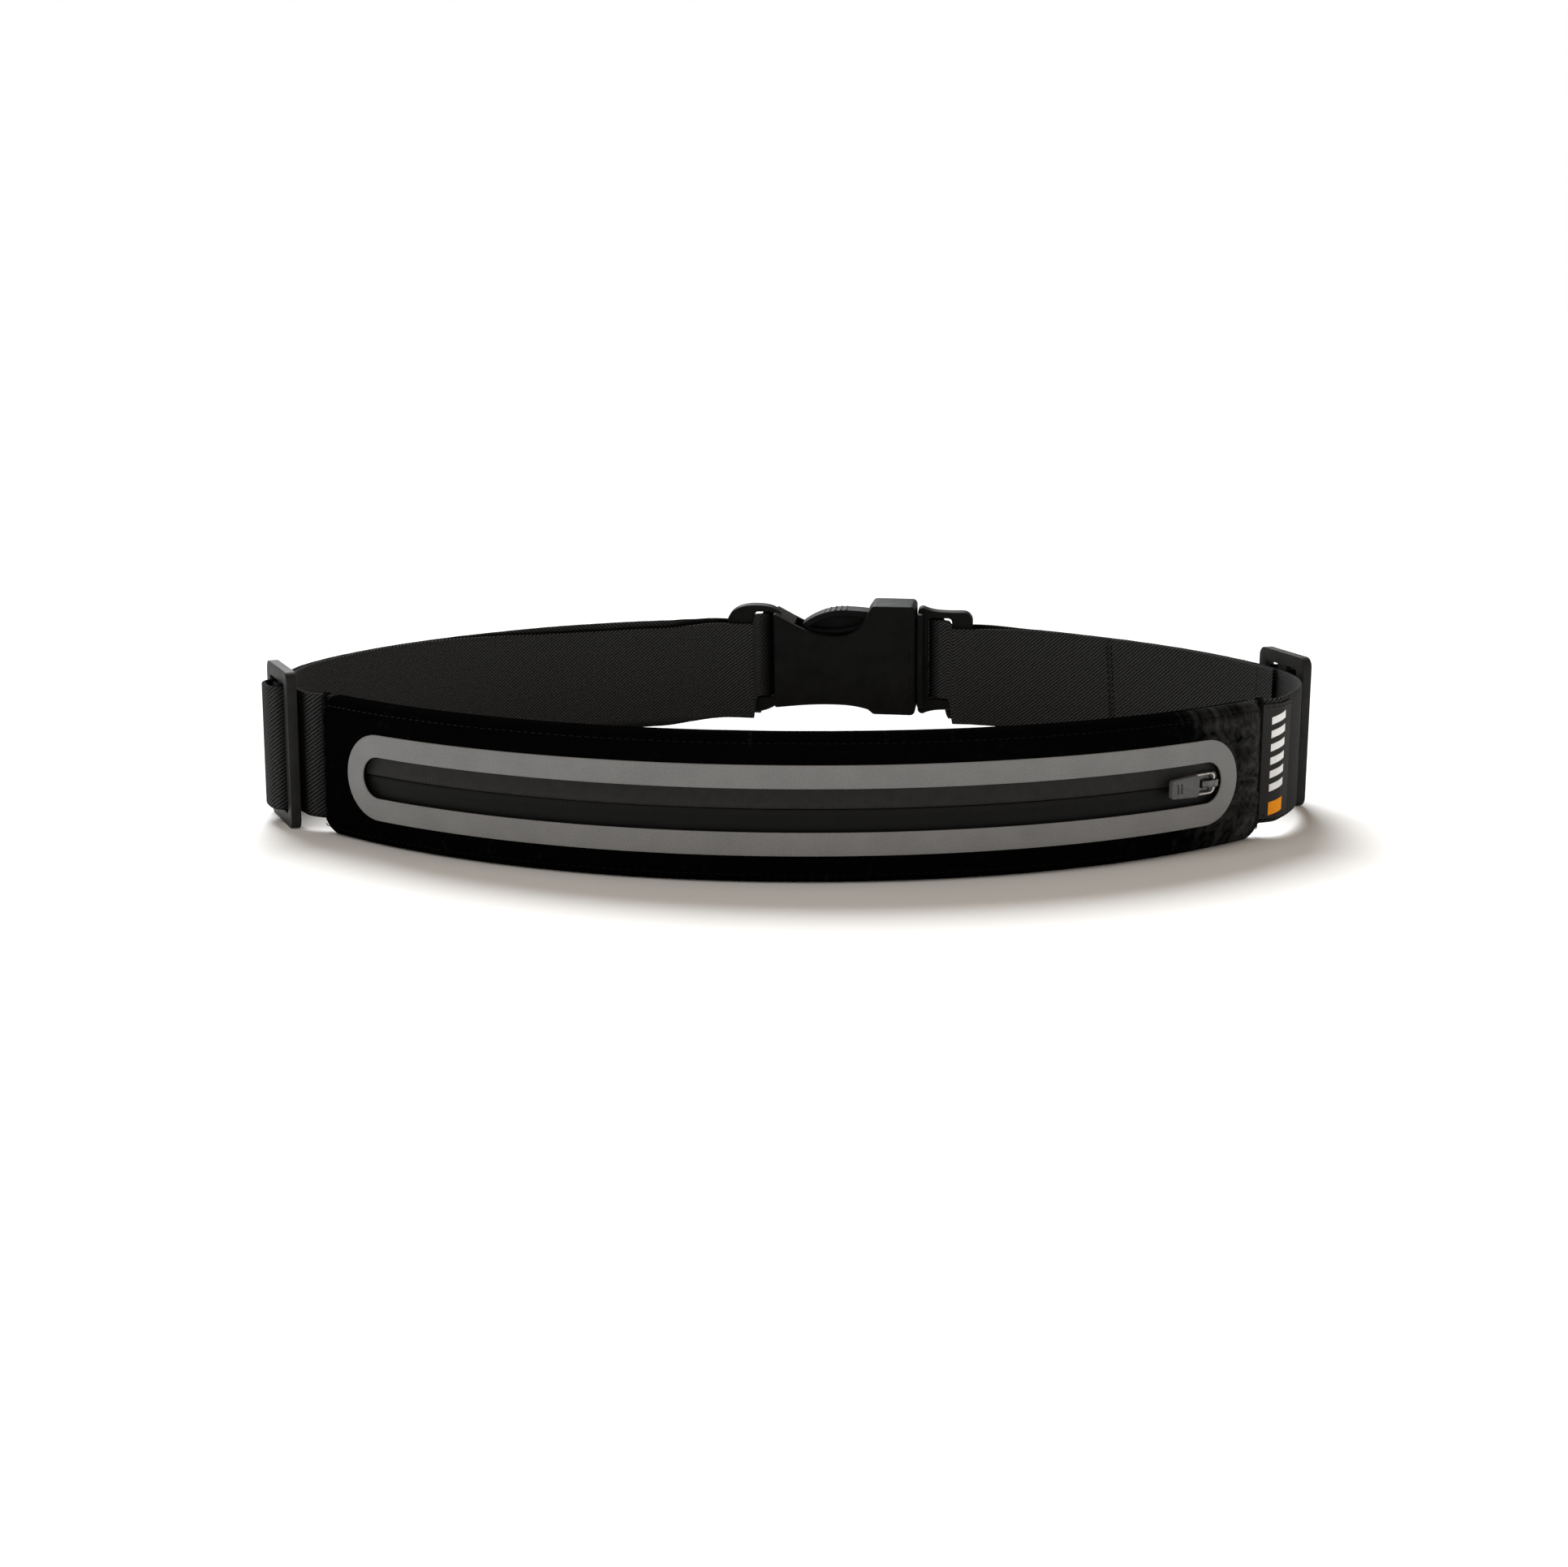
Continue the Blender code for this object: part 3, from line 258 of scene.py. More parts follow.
class Nodes:
    """A procedural material in the making, with short names for the nodes it uses."""

    def __init__(self, name, roughness, metallic=0.0, sheen=0.0, specular=0.5):
        self.material = bpy.data.materials.new(name)
        self.material.use_nodes = True
        self.tree = self.material.node_tree
        self.shader = self.tree.nodes["Principled BSDF"]
        self.height = None
        for key, value in (("Roughness", roughness), ("Metallic", metallic), ("Sheen Weight", sheen),
                           ("Specular IOR Level", specular)):
            self.feed(self.shader, key, value)

    def add(self, kind, inputs=(), **settings):
        node = self.tree.nodes.new(kind)
        for key, value in settings.items():
            setattr(node, key, value)
        for key, value in dict(inputs).items():
            self.feed(node, key, value)
        return node

    def feed(self, node, key, value):
        if isinstance(value, bpy.types.NodeSocket):
            self.tree.links.new(value, node.inputs[key])
        else:
            node.inputs[key].default_value = value

    def math(self, operation, a, b=0.0):
        return self.add("ShaderNodeMath", {0: a, 1: b}, operation=operation).outputs[0]

    def times(self, a, b):
        return self.math("MULTIPLY", a, b)

    def place(self, scale=(1000.0, 1000.0, 1000.0), turn=0.0, solid=False):
        """Coordinates in millimetres: along and across the surface, or in space for moulded pieces."""
        if solid:
            source = self.add("ShaderNodeTexCoord").outputs["Object"]
        else:
            source = self.add("ShaderNodeUVMap", uv_map="weave").outputs[0]
        inputs = {"Vector": source, "Scale": scale, "Rotation": (0.0, 0.0, radians(turn))}
        return self.add("ShaderNodeMapping", inputs).outputs[0]

    def ribs(self, coordinates, pitch, axis="X", distortion=0.0):
        """Parallel ribs across the axis, pitch in millimetres."""
        inputs = {"Vector": coordinates, "Scale": 0.314159 / pitch, "Distortion": distortion,
                  "Detail": 1.0, "Detail Scale": 1.5}
        return self.add("ShaderNodeTexWave", inputs, bands_direction=axis).outputs["Fac"]

    def cloud(self, coordinates, size, detail=3.0, roughness=0.6):
        """Soft noise with features of the given size in millimetres."""
        inputs = {"Vector": coordinates, "Scale": 1.0 / size, "Detail": detail, "Roughness": roughness}
        return self.add("ShaderNodeTexNoise", inputs).outputs["Fac"]

    def colour(self, factor, dark, light, low=0.0, high=1.0):
        ramp = self.add("ShaderNodeValToRGB", {"Fac": factor})
        for stop, tint, position in zip(ramp.color_ramp.elements, (dark, light), (low, high)):
            stop.color = (*tint, 1.0)
            stop.position = position
        self.feed(self.shader, "Base Color", ramp.outputs["Color"])

    def rough(self, factor, low, high):
        node = self.add("ShaderNodeMapRange", {"Value": factor, "To Min": low, "To Max": high})
        self.feed(self.shader, "Roughness", node.outputs["Result"])

    def bump(self, factor, depth, strength=1.0):
        """Relief of the given depth in millimetres; several calls stack up."""
        inputs = {"Height": factor, "Distance": depth * MM, "Strength": strength}
        if self.height is not None:
            inputs["Normal"] = self.height
        self.height = self.add("ShaderNodeBump", inputs).outputs["Normal"]
        self.feed(self.shader, "Normal", self.height)


def grey(level, warm=0.0):
    return (level * (1.0 + warm), level, level * (1.0 - warm))


def stretch_fabric(name, lint_and_sheen_level):
    """Matt knit: columns of small loops, with a faint lint mottle all over and painted sheen, grey patches
    growing towards the right end where the puckered fabric turns.
    """
    m = Nodes(name, 0.95, specular=0.0)
    flat = m.place()
    wales = m.ribs(flat, 0.55, "X", 0.4)
    courses = m.ribs(flat, 0.42, "Y", 0.6)
    loops = m.times(wales, courses)
    patches = m.cloud(flat, 9.0, 4.0)
    along = m.add("ShaderNodeSeparateXYZ", {"Vector": flat}).outputs["X"]
    # Painted sheen: the grey patches grow from a third of their strength at 110 mm along to full strength at
    # 148 mm, towards the right end.
    painted_sheen_ramp = m.add("ShaderNodeMapRange", {"Value": along, "From Min": 110.0, "From Max": 148.0,
                                        "To Min": 0.3, "To Max": 1.0}).outputs["Result"]
    lint_and_sheen = m.times(m.times(patches, m.cloud(flat, 2.2, 4.0)), painted_sheen_ramp)
    m.colour(m.math("ADD", lint_and_sheen, m.times(loops, 0.04)), grey(0.0012), grey(lint_and_sheen_level), 0.12, 0.42)
    m.rough(patches, 0.82, 0.98)
    m.bump(loops, 0.09, 0.6)
    m.bump(m.cloud(flat, 2.4, 3.0), 0.22, 0.5)
    return m.material


def reflective_film():
    """Grey retro-reflective film: fine glass beads in a matt binder, slightly mottled."""
    m = Nodes("reflective_film", 0.5, specular=0.2)
    flat = m.place()
    beads = m.add("ShaderNodeTexVoronoi", {"Vector": flat, "Scale": 5.5}).outputs["Distance"]
    mottle = m.math("ADD", m.cloud(flat, 0.55, 2.0), m.times(m.cloud(flat, 14.0, 3.0), 0.8))
    m.colour(m.times(mottle, 0.56), grey(0.155), grey(0.225), 0.3, 0.75)
    m.rough(beads, 0.42, 0.66)
    m.bump(beads, 0.03, 0.5)
    return m.material


def zip_film(name, level):
    """Laminated tape: smooth film over a fine weave, with the coil's teeth showing through."""
    m = Nodes(name, 0.5, specular=0.1)
    flat = m.place()
    weave = m.times(m.ribs(flat, 0.5, "X"), m.ribs(flat, 0.6, "Y"))
    dust = m.cloud(flat, 3.5, 5.0)
    m.colour(dust, grey(level), grey(level * 1.5), 0.3, 0.75)
    m.rough(dust, 0.42, 0.62)
    m.bump(weave, 0.03, 0.5)
    m.bump(m.cloud(flat, 6.0, 2.0), 0.15, 0.5)
    return m.material


def zip_metal(name, dark, light):
    """Plated zinc with fine scratches and a softly mottled tone."""
    m = Nodes(name, 0.3, metallic=1.0)
    solid = m.place(solid=True)
    scratches = m.cloud(m.place((300.0, 2500.0, 2500.0), 20.0, solid=True), 1.0, 4.0)
    m.colour(m.cloud(solid, 1.4), grey(dark, 0.02), grey(light, 0.02), 0.3, 0.7)
    m.rough(scratches, 0.22, 0.5)
    m.bump(scratches, 0.01, 0.4)
    return m.material


def webbing():
    """Elastic webbing: fine diagonal twill over lengthwise cords and fuzz, with painted shade that darkens it
    in crevices and folds.
    """
    m = Nodes("webbing", 0.88, sheen=0.015, specular=0.03)
    flat = m.place()
    twill = m.ribs(m.place(turn=52.0), 0.95, "X", 0.5)
    cords = m.ribs(flat, 0.62, "Y", 0.25)
    picks = m.ribs(flat, 0.5, "X", 0.3)
    threads = m.times(cords, picks)
    fuzz = m.cloud(flat, 0.8, 3.0, 0.75)
    shade = m.math("ADD", m.times(twill, 0.4), m.times(fuzz, 0.6))
    # Painted shade: ambient occlusion darkens the colour in crevices, folds and the buckle's slots.
    painted_crevice_shade = m.add("ShaderNodeAmbientOcclusion", {"Distance": 6.0 * MM}, samples=8).outputs["AO"]
    shade = m.times(shade, m.math("POWER", painted_crevice_shade, 1.5))
    m.colour(shade, grey(0.002, -0.01), grey(0.056, -0.01), 0.27, 0.75)
    m.rough(fuzz, 0.8, 0.97)
    m.bump(twill, 0.12, 0.6)
    m.bump(threads, 0.08, 0.6)
    return m.material


def binding():
    m = Nodes("binding", 0.92, sheen=0.015, specular=0.04)
    flat = m.place()
    ribs = m.ribs(flat, 0.7, "Y", 0.4)
    m.colour(m.times(ribs, m.cloud(flat, 1.2)), grey(0.0015), grey(0.008), 0.1, 0.6)
    m.bump(ribs, 0.1, 0.6)
    return m.material


def thread(name, dark, light):
    """Twisted sewing thread."""
    m = Nodes(name, 0.6, specular=0.03)
    solid = m.place(solid=True)
    m.colour(m.cloud(solid, 0.35, 2.0), dark, light, 0.3, 0.7)
    m.bump(m.ribs(m.place(turn=40.0, solid=True), 0.25, "DIAGONAL"), 0.03, 0.6)
    return m.material


def label_cloth():
    """Woven label: tight satin with a fine rib."""
    m = Nodes("label_cloth", 0.75, sheen=0.03, specular=0.1)
    flat = m.place()
    satin = m.times(m.ribs(flat, 0.28, "X"), m.ribs(flat, 0.34, "Y", 0.3))
    m.colour(satin, grey(0.022), grey(0.05), 0.1, 0.8)
    m.bump(satin, 0.04, 0.6)
    return m.material


def moulded(name, dark, light, shine, specular):
    """Acetal with a fine spark-eroded grain, flow marks and polished high spots."""
    m = Nodes(name, shine, specular=specular)
    solid = m.place(solid=True)
    m.colour(m.cloud(solid, 7.0), grey(dark), grey(light), 0.3, 0.75)
    m.rough(m.cloud(solid, 1.6, 4.0), shine - 0.08, shine + 0.12)
    m.bump(m.cloud(solid, 0.22, 2.0), 0.014, 0.6)
    return m.material


def nylon():
    m = Nodes("coil_nylon", 0.4, specular=0.2)
    solid = m.place(solid=True)
    m.colour(m.cloud(solid, 2.0), grey(0.008), grey(0.014))
    m.bump(m.cloud(solid, 0.3), 0.02, 0.4)
    return m.material


def pull_rubber():
    m = Nodes("pull_rubber", 0.6, specular=0.2)
    solid = m.place(solid=True)
    m.colour(m.cloud(solid, 1.2), grey(0.075), grey(0.115), 0.3, 0.7)
    m.rough(m.cloud(solid, 0.5), 0.45, 0.7)
    m.bump(m.cloud(solid, 0.18, 2.0), 0.02, 0.5)
    return m.material


def floor_material():
    m = Nodes("floor", 0.95, specular=0.1)
    solid = m.place(solid=True)
    m.colour(m.cloud(solid, 60.0, 2.0), grey(0.84), grey(0.87))
    return m.material


# ---- mesh builders

def finish_piece(item, body, slot, *nodes):
    """Ride on the body and stand for the CAD nodes. The slot argument is not used."""
    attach(item, body)
    if nodes:
        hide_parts(*nodes)
    return item


def add_item(name, data):
    item = bpy.data.objects.new(name, data)
    bpy.context.scene.collection.objects.link(item)
    return item


def soften(mesh, sharp_angle):
    mesh.shade_smooth()
    mesh.set_sharp_from_angle(angle=radians(sharp_angle))


def new_object(name, verts, faces, material, uvs=None, smooth_angle=40.0):
    """A mesh object. uvs holds one (along, across) pair for each vertex."""
    mesh = bpy.data.meshes.new(name)
    mesh.from_pydata([Vector(v) * MM for v in verts], [], faces)
    if uvs:
        layer = mesh.uv_layers.new(name="weave")
        for loop in mesh.loops:
            layer.data[loop.index].uv = Vector(uvs[loop.vertex_index]) * MM
    bm = bmesh.new()
    bm.from_mesh(mesh)
    bmesh.ops.recalc_face_normals(bm, faces=bm.faces)
    bm.to_mesh(mesh)
    bm.free()
    soften(mesh, smooth_angle)
    mesh.materials.append(material)
    return add_item(name, mesh)


def band(a, b, count):
    """Quads between two closed rows of vertices that start at a and b."""
    return [(a + i, a + (i + 1) % count, b + (i + 1) % count, b + i) for i in range(count)]


def skin(name, rows, faces, material, smooth_angle):
    """An object whose vertices are the entries (point, u, v) of the rows, in order."""
    entries = [entry for row in rows for entry in row]
    points = [entry[0] for entry in entries]
    return new_object(name, points, faces, material, [entry[1:] for entry in entries], smooth_angle)


def loft(name, rows, material, smooth_angle, ring=False):
    """Skin closed rows of (point, u, v). With ring the last row joins the first, else the ends are filled."""
    count = len(rows[0])
    last = (len(rows) - 1) * count
    faces = []
    for base in range(0, last, count):
        faces += band(base, base + count, count)
    if ring:
        faces += band(last, 0, count)
    else:
        faces += [tuple(range(count)), tuple(last + i for i in reversed(range(count)))]
    return skin(name, rows, faces, material, smooth_angle)


class Mould:
    """Stamped or moulded shapes in one material: outlines in local X and Z, thickness along local Y."""

    def __init__(self, material, matrix):
        self.material = material
        self.matrix = matrix

    def slab(self, name, outline, low, high, holes=()):
        bm = bmesh.new()
        edges = []
        for loop in (outline, *holes):
            verts = [bm.verts.new((u * MM, low * MM, w * MM)) for u, w in loop]
            for i, vert in enumerate(verts):
                edges.append(bm.edges.new((vert, verts[(i + 1) % len(verts)])))
        if holes:
            bmesh.ops.triangle_fill(bm, use_beauty=True, use_dissolve=True, edges=edges)
        else:
            bm.faces.new(list(bm.verts))
        cap = bmesh.ops.extrude_face_region(bm, geom=list(bm.faces))
        moved = [part for part in cap["geom"] if isinstance(part, bmesh.types.BMVert)]
        bmesh.ops.translate(bm, verts=moved, vec=(0.0, (high - low) * MM, 0.0))
        bmesh.ops.recalc_face_normals(bm, faces=bm.faces)
        mesh = bpy.data.meshes.new(name)
        bm.to_mesh(mesh)
        bm.free()
        mesh.materials.append(self.material)
        item = add_item(name, mesh)
        item.matrix_world = self.matrix
        item.location = self.matrix.translation * MM
        return item

    def block(self, name, u_range, v_range, w_range):
        (left, right), (bottom, top) = u_range, w_range
        return self.slab(name, [(left, bottom), (right, bottom), (right, top), (left, top)], *v_range)


def bevel(item, width, segments=3):
    modifier = item.modifiers.new("rounding", 'BEVEL')
    modifier.width = width * MM
    modifier.segments = segments
    modifier.limit_method = 'ANGLE'
    modifier.angle_limit = radians(35.0)
    return item


def combine(target, tools, operation):
    """Boolean the tools into the target, one after the other, and fix its mesh in the frame."""
    for tool in tools:
        modifier = target.modifiers.new("combine", 'BOOLEAN')
        modifier.operation = operation
        modifier.solver = 'EXACT'
        modifier.object = tool
    bpy.context.view_layer.update()
    mesh = bpy.data.meshes.new_from_object(target.evaluated_get(bpy.context.evaluated_depsgraph_get()))
    target.modifiers.clear()
    target.data = mesh
    mesh.transform(target.matrix_world)
    target.matrix_world = Matrix.Identity(4)
    soften(mesh, 38.0)
    for tool in tools:
        bpy.data.objects.remove(tool, do_unlink=True)
    return target


def webbing_section(half, thickness, columns):
    """Cross-section of webbing as (across, out): flat faces and round edges, anticlockwise."""
    radius = thickness / 2
    section = [(across, radius) for across in spread(half - radius, radius - half, columns)]
    section += arc_points((radius - half, 0.0), radius, 90, 270, 4)[1:-1]
    return section + [(-across, -out) for across, out in section]


def strip(name, stations, material, thickness=STRAP_THICK, columns=18, ripple=0.0, lay=1.0):
    """Sweep webbing along stations of (point, width direction, half width, distance); lay turns its twill."""
    rows = []
    for i, (point, across, half, along) in enumerate(stations):
        ahead = stations[min(i + 1, len(stations) - 1)][0]
        behind = stations[max(i - 1, 0)][0]
        normal = (ahead - behind).cross(across).normalized()
        row = []
        for t, n in webbing_section(half, thickness, columns):
            sway = ripple * wave(along / 6.0, side_of(t) * 3.0) * (abs(t) / half) ** 6 * side_of(t)
            row.append((point + across * (t + sway) + normal * n, along * lay, t))
        rows.append(row)
    return loft(name, rows, material, smooth_angle=60.0)


def stitches(name, paths, material, pitch, gap, radius, lift):
    """Rows of thread stitches along paths of (point, outward normal)."""
    verts, faces = [], []
    sides, rings = 6, 5
    for path in paths:
        lengths = [0.0]
        for a, b in zip(path, path[1:]):
            lengths.append(lengths[-1] + (b[0] - a[0]).length)
        count = max(1, int(lengths[-1] / pitch))

        def at(distance):
            k = 0
            while k < len(lengths) - 2 and lengths[k + 1] < distance:
                k += 1
            t = (distance - lengths[k]) / max(lengths[k + 1] - lengths[k], 1e-6)
            return blend(path[k][0], path[k + 1][0], t), blend(path[k][1], path[k + 1][1], t).normalized()

        for stitch in range(count):
            start = lengths[-1] * (stitch + gap / 2) / count
            end = lengths[-1] * (stitch + 1 - gap / 2) / count
            base = len(verts)
            for t in spread(0.0, 1.0, rings - 1):
                distance = blend(start, end, t)
                point, normal = at(distance)
                forward = (at(distance + 0.1)[0] - at(max(start, distance - 0.1))[0]).normalized()
                beside = forward.cross(normal).normalized()
                arch = sin(pi * t)
                middle = point + normal * (lift * (arch * 1.5 - 0.7))
                girth = radius * (0.75 + 0.25 * arch)
                verts += [middle + (normal * x + beside * y) * girth for x, y in circle(sides)]
            for ring in range(rings - 1):
                faces += band(base + ring * sides, base + (ring + 1) * sides, sides)
            faces.append(tuple(base + k for k in reversed(range(sides))))
            faces.append(tuple(base + (rings - 1) * sides + k for k in range(sides)))
    return new_object(name, verts, faces, material, smooth_angle=80.0)


# ---- pouch

def pouch_outline(half_length, half_height, corner, long_steps=150, corner_steps=9, end_steps=8):
    """Rounded rectangle in arc length and height, mirrored about its long axis."""
    straight = half_length - corner
    rise = half_height - corner
    quarter = [(half_length, z) for z in spread(0.0, rise, end_steps)[:-1]]
    quarter += arc_points((straight, rise), corner, 0, 90, corner_steps)[:-1]
    upper = quarter + [(s, half_height) for s in spread(straight, -straight, long_steps)]
    upper += [(-s, z) for s, z in reversed(quarter)]
    return upper + mirrored(upper[1:-1])


def inset_outline(inset):
    """The pouch's outline some way in, its ends a little wavy where they are sewn."""
    result = []
    for s, z in pouch_outline(POUCH_REACH - inset, POUCH_HALF_HEIGHT - inset, POUCH_CORNER):
        near_end = smoothstep(POUCH_REACH - 9.0, POUCH_REACH, abs(s))
        sway = (wave(z / 6.0, 5.0 * side_of(s), 3.0) * 2.2 - 0.3) * near_end
        result.append((s + side_of(s) * sway, z))
    return result


def shoulder_height(fraction):
    return sqrt(1.0 - (1.0 - fraction) ** 2)


def slack(s, z, facing):
    """How far the fabric stands off its even form: puckers at the seams, slow waves between."""
    edge = min(POUCH_HALF_HEIGHT - abs(z), POUCH_REACH - abs(s))
    seam = exp(-((edge - 3.0) / 3.5) ** 2)
    gathers = wave(s / 4.5, z / 14.0, facing) * 0.20 * seam
    waves = wave(s / 34.0, z / 26.0, 4.0 + facing) * 0.32 * smoothstep(0.0, 7.0, edge)
    creases = wave(s / 8.0, z / 2.6, 9.0 + facing) * 1.3 + wave(s / 2.2, z / 3.0, 2.0) * 0.6
    creases *= smoothstep(0.0, 2.5, edge)
    loose = blend(gathers + waves, creases, smoothstep(133.0, 146.0, abs(s)))
    if facing > 0:
        under_film = (1.0 - smoothstep(13.0, 14.5, abs(z))) * (1.0 - smoothstep(139.2, 141.0, abs(s)))
        loose *= 1.0 - 0.85 * under_film
    return loose


def pouch_row(outline, out, facing, wrinkled):
    row = []
    for s, z in outline:
        point = pouch_point(s, POUCH_INSET + facing * (out + slack(s, z, facing) * wrinkled), z)
        row.append((point, s, z + out * side_of(z)))
    return row


def pouch_skin(name, facing, bulge, window, material):
    """One panel of stretch fabric: a shallow tray with soft shoulders and a sewn rim."""
    rim = SEAM_GAP
    fractions = [(i / 14) ** 1.6 for i in range(1, 15)]
    outer = [(inset_outline(0.35), rim, 0.0), (inset_outline(0.08), rim + 0.25, 0.0),
             (inset_outline(0.0), rim + SEAM_RISE, 0.1)]
    for fraction in fractions:
        rise = (bulge - rim - SEAM_RISE) * shoulder_height(fraction)
        outer.append((inset_outline(SHOULDER * fraction), rim + SEAM_RISE + rise, 0.2 + 0.8 * fraction))
    inner = [(inset_outline(POUCH_WALL), rim, 0.0)]
    for fraction in fractions[2::2]:
        rise = (bulge - POUCH_WALL - rim) * shoulder_height(fraction)
        inner.append((inset_outline(blend(POUCH_WALL, SHOULDER, fraction)), rim + rise, 0.0))
    half_length, half_height = POUCH_REACH - 20.0, 0.4
    if window:
        half_length, half_height = WINDOW_HALF_LENGTH + 0.3, WINDOW_HALF_HEIGHT + 0.3
    target = pouch_outline(half_length, half_height, half_height - 0.01)
    inner.append((target, bulge - POUCH_WALL, 0.0))
    face = inset_outline(SHOULDER)
    for t in spread(0.0, 1.0, 11)[1:]:
        outline = [(blend(a[0], b[0], t), blend(a[1], b[1], t)) for a, b in zip(face, target)]
        outer.append((outline, bulge, 1.0))
    rows, inner_rows = [[pouch_row(outline, out, facing, wrinkled) for outline, out, wrinkled in part]
                        for part in (outer, reversed(inner))]
    if window:
        return loft(name, rows + inner_rows, material, ring=True, smooth_angle=70.0)
    return close_skin(name, rows, inner_rows, material)


def close_skin(name, rows, inner_rows, material):
    """Join the outside to the inside round the rim and close the slit left along the middle of each."""
    count = len(rows[0])
    half = count // 2
    ordered = rows[::-1] + inner_rows[::-1]
    last = (len(ordered) - 1) * count
    faces = []
    for base in range(0, last, count):
        faces += band(base, base + count, count)
    for base in (0, last):
        faces.append((base, base + 1, base + count - 1))
        for i in range(1, half - 1):
            faces.append((base + count - i, base + i, base + i + 1, base + count - i - 1))
        faces.append((base + half - 1, base + half, base + half + 1))
    return skin(name, ordered, faces, material, 70.0)


def film_band(name, material):
    """Ring of film bonded round the window, with rolled edges and a slight waviness."""
    section = [(0.0, 0.0), (0.0, 0.6), (0.012, 0.9)] + [(across, 1.0) for across in spread(0.035, 0.965, 7)]
    section += [(0.988, 0.9), (1.0, 0.6), (1.0, 0.0)]
    rows = []
    for across, rise in section:
        half_height = blend(TRIM_HALF_HEIGHT, WINDOW_HALF_HEIGHT, across)
        half_length = blend(TRIM_HALF_LENGTH, WINDOW_HALF_LENGTH, across)
        row = []
        for s, z in pouch_outline(half_length, half_height, half_height - 0.01, 170, 18, 1):
            thick = TRIM_THICK + wave(s / 17.0, z / 9.0, 7.0) * 0.10 + 0.05
            row.append((pouch_point(s, POUCH_FACE + 0.12 + thick * rise, z), s, z))
        rows.append(row)
    return loft(name, rows, material, ring=True, smooth_angle=50.0)


def panel_surface(s, z, facing, bulge):
    """Point and outward normal on a panel's outside, anywhere on its shoulder or face."""
    edge = min(POUCH_HALF_HEIGHT - abs(z), POUCH_REACH - abs(s))
    fraction = min(max(edge / SHOULDER, 0.0), 1.0)
    rise = blend(SEAM_GAP + SEAM_RISE, bulge, shoulder_height(fraction))
    rise += slack(s, z, facing) * (0.2 + 0.8 * fraction)
    point = pouch_point(s, POUCH_INSET + facing * rise, z)
    tilt = Vector((0.0, 0.0, copysign(1.0 - fraction, z)))
    if POUCH_REACH - abs(s) < POUCH_HALF_HEIGHT - abs(z):
        tilt = ring_direction(s) * (1.0 - fraction)
    return point, (ring_normal(s) * facing + tilt * 0.6).normalized()


def seam_stitches(name, facing, bulge, inset, material):
    """Topstitching that follows the pouch's outline a little way in."""
    outline = pouch_outline(POUCH_REACH - inset, POUCH_HALF_HEIGHT - inset, POUCH_CORNER - inset * 0.5)
    path = [panel_surface(s, z, facing, bulge) for s, z in outline]
    path.append(path[0])
    return stitches(name, [path], material, 2.3, 0.35, 0.15, 0.10)


def binding_sleeve(name, side, material):
    """Folded binding round the strap, hard against the pouch's end."""
    profile = [(0.0, 0.55), (0.15, 0.8125), (0.5, 0.9), (0.85, 0.8125), (1.0, 0.55), (0.8, 0.1), (0.2, 0.1)]
    rows = [binding_row(side, POUCH_REACH + 0.45 + SLEEVE_LENGTH * along, wall) for along, wall in profile]
    return loft(name, rows, material, ring=True, smooth_angle=60.0)


def binding_row(side, distance, wall):
    half_out = STRAP_THICK / 2 + 0.1 + wall
    half_z = STRAP_WIDTH / 2 + 0.1 + wall
    outline = []
    for sign in (1, -1):
        outline += [(half_out * sign, half_z * (1 - i / 12) * sign) for i in range(1, 24)]
        outline += [(half_out * 0.5 * sign, -half_z * sign), (-half_out * 0.5 * sign, -half_z * sign)]
    row = []
    for out, z in outline:
        ruck = wave(distance * 1.3, z / 2.2, side) * 0.22 * min(1.0, wall / 0.5) * side_of(out)
        point = ring_point(side * distance, strap_out(distance) + out + ruck, STRAP_Z_POUCH + z)
        row.append((point, distance, z))
    return row


def build_pouch(looks):
    front = pouch_skin("front_panel_fabric", 1, FRONT_BULGE, True, looks["fabric"])
    finish_piece(front, "root", "stretch_fabric", "pouch_front_panel")
    back = pouch_skin("back_panel_fabric", -1, BACK_BULGE, False, looks["back_fabric"])
    finish_piece(back, "root", "stretch_fabric", "pouch_back_panel")
    finish_piece(film_band("reflective_band", looks["film"]), "root", "reflective_film", "reflective_trim")
    for name, facing, bulge in (("front_seam_thread", 1, FRONT_BULGE), ("back_seam_thread", -1, BACK_BULGE)):
        finish_piece(seam_stitches(name, facing, bulge, 2.6, looks["dark_thread"]), "root", "stretch_fabric")
    for name, side in (("left", -1.0), ("right", 1.0)):
        sleeve = binding_sleeve("end_sleeve_" + name, side, looks["binding"])
        finish_piece(sleeve, "root", "binding", "end_binding_" + name)


# ---- zip

def zip_tape(name, sign, material):
    """Laminated tape with a rolled lip over the coil, whose teeth show as faint ripples."""
    section = [(0.03, 0.05), (0.04, 0.55), (0.14, 0.74), (0.5, 0.86), (1.6, 0.9), (2.3, 0.82), (2.9, 0.72),
               (3.6, 0.7), (5.2, 0.7), (7.4, 0.7), (9.8, 0.66), (9.8, 0.1), (7.4, 0.02), (3.6, 0.0),
               (1.6, -0.05), (0.4, -0.08)]
    rows = []
    for s in spread(-TAPE_HALF_LENGTH, TAPE_HALF_LENGTH, int(2 * TAPE_HALF_LENGTH / COIL_PITCH * 5)):
        row = []
        apart = 0.16 * smoothstep(WINDOW_HALF_LENGTH - 2.0, TAPE_HALF_LENGTH, -s)
        for up, out in section:
            over_coil = 0.3 < up < 2.6 and out > 0.5
            tooth = 0.035 * sin(tau * s / COIL_PITCH) if over_coil else 0.0
            sag = wave(s / 21.0, up / 6.0, sign) * 0.06
            row.append((pouch_point(s, out + tooth + sag, sign * (up + apart)), s, sign * up))
        rows.append(row)
    return loft(name, rows, material, smooth_angle=50.0)


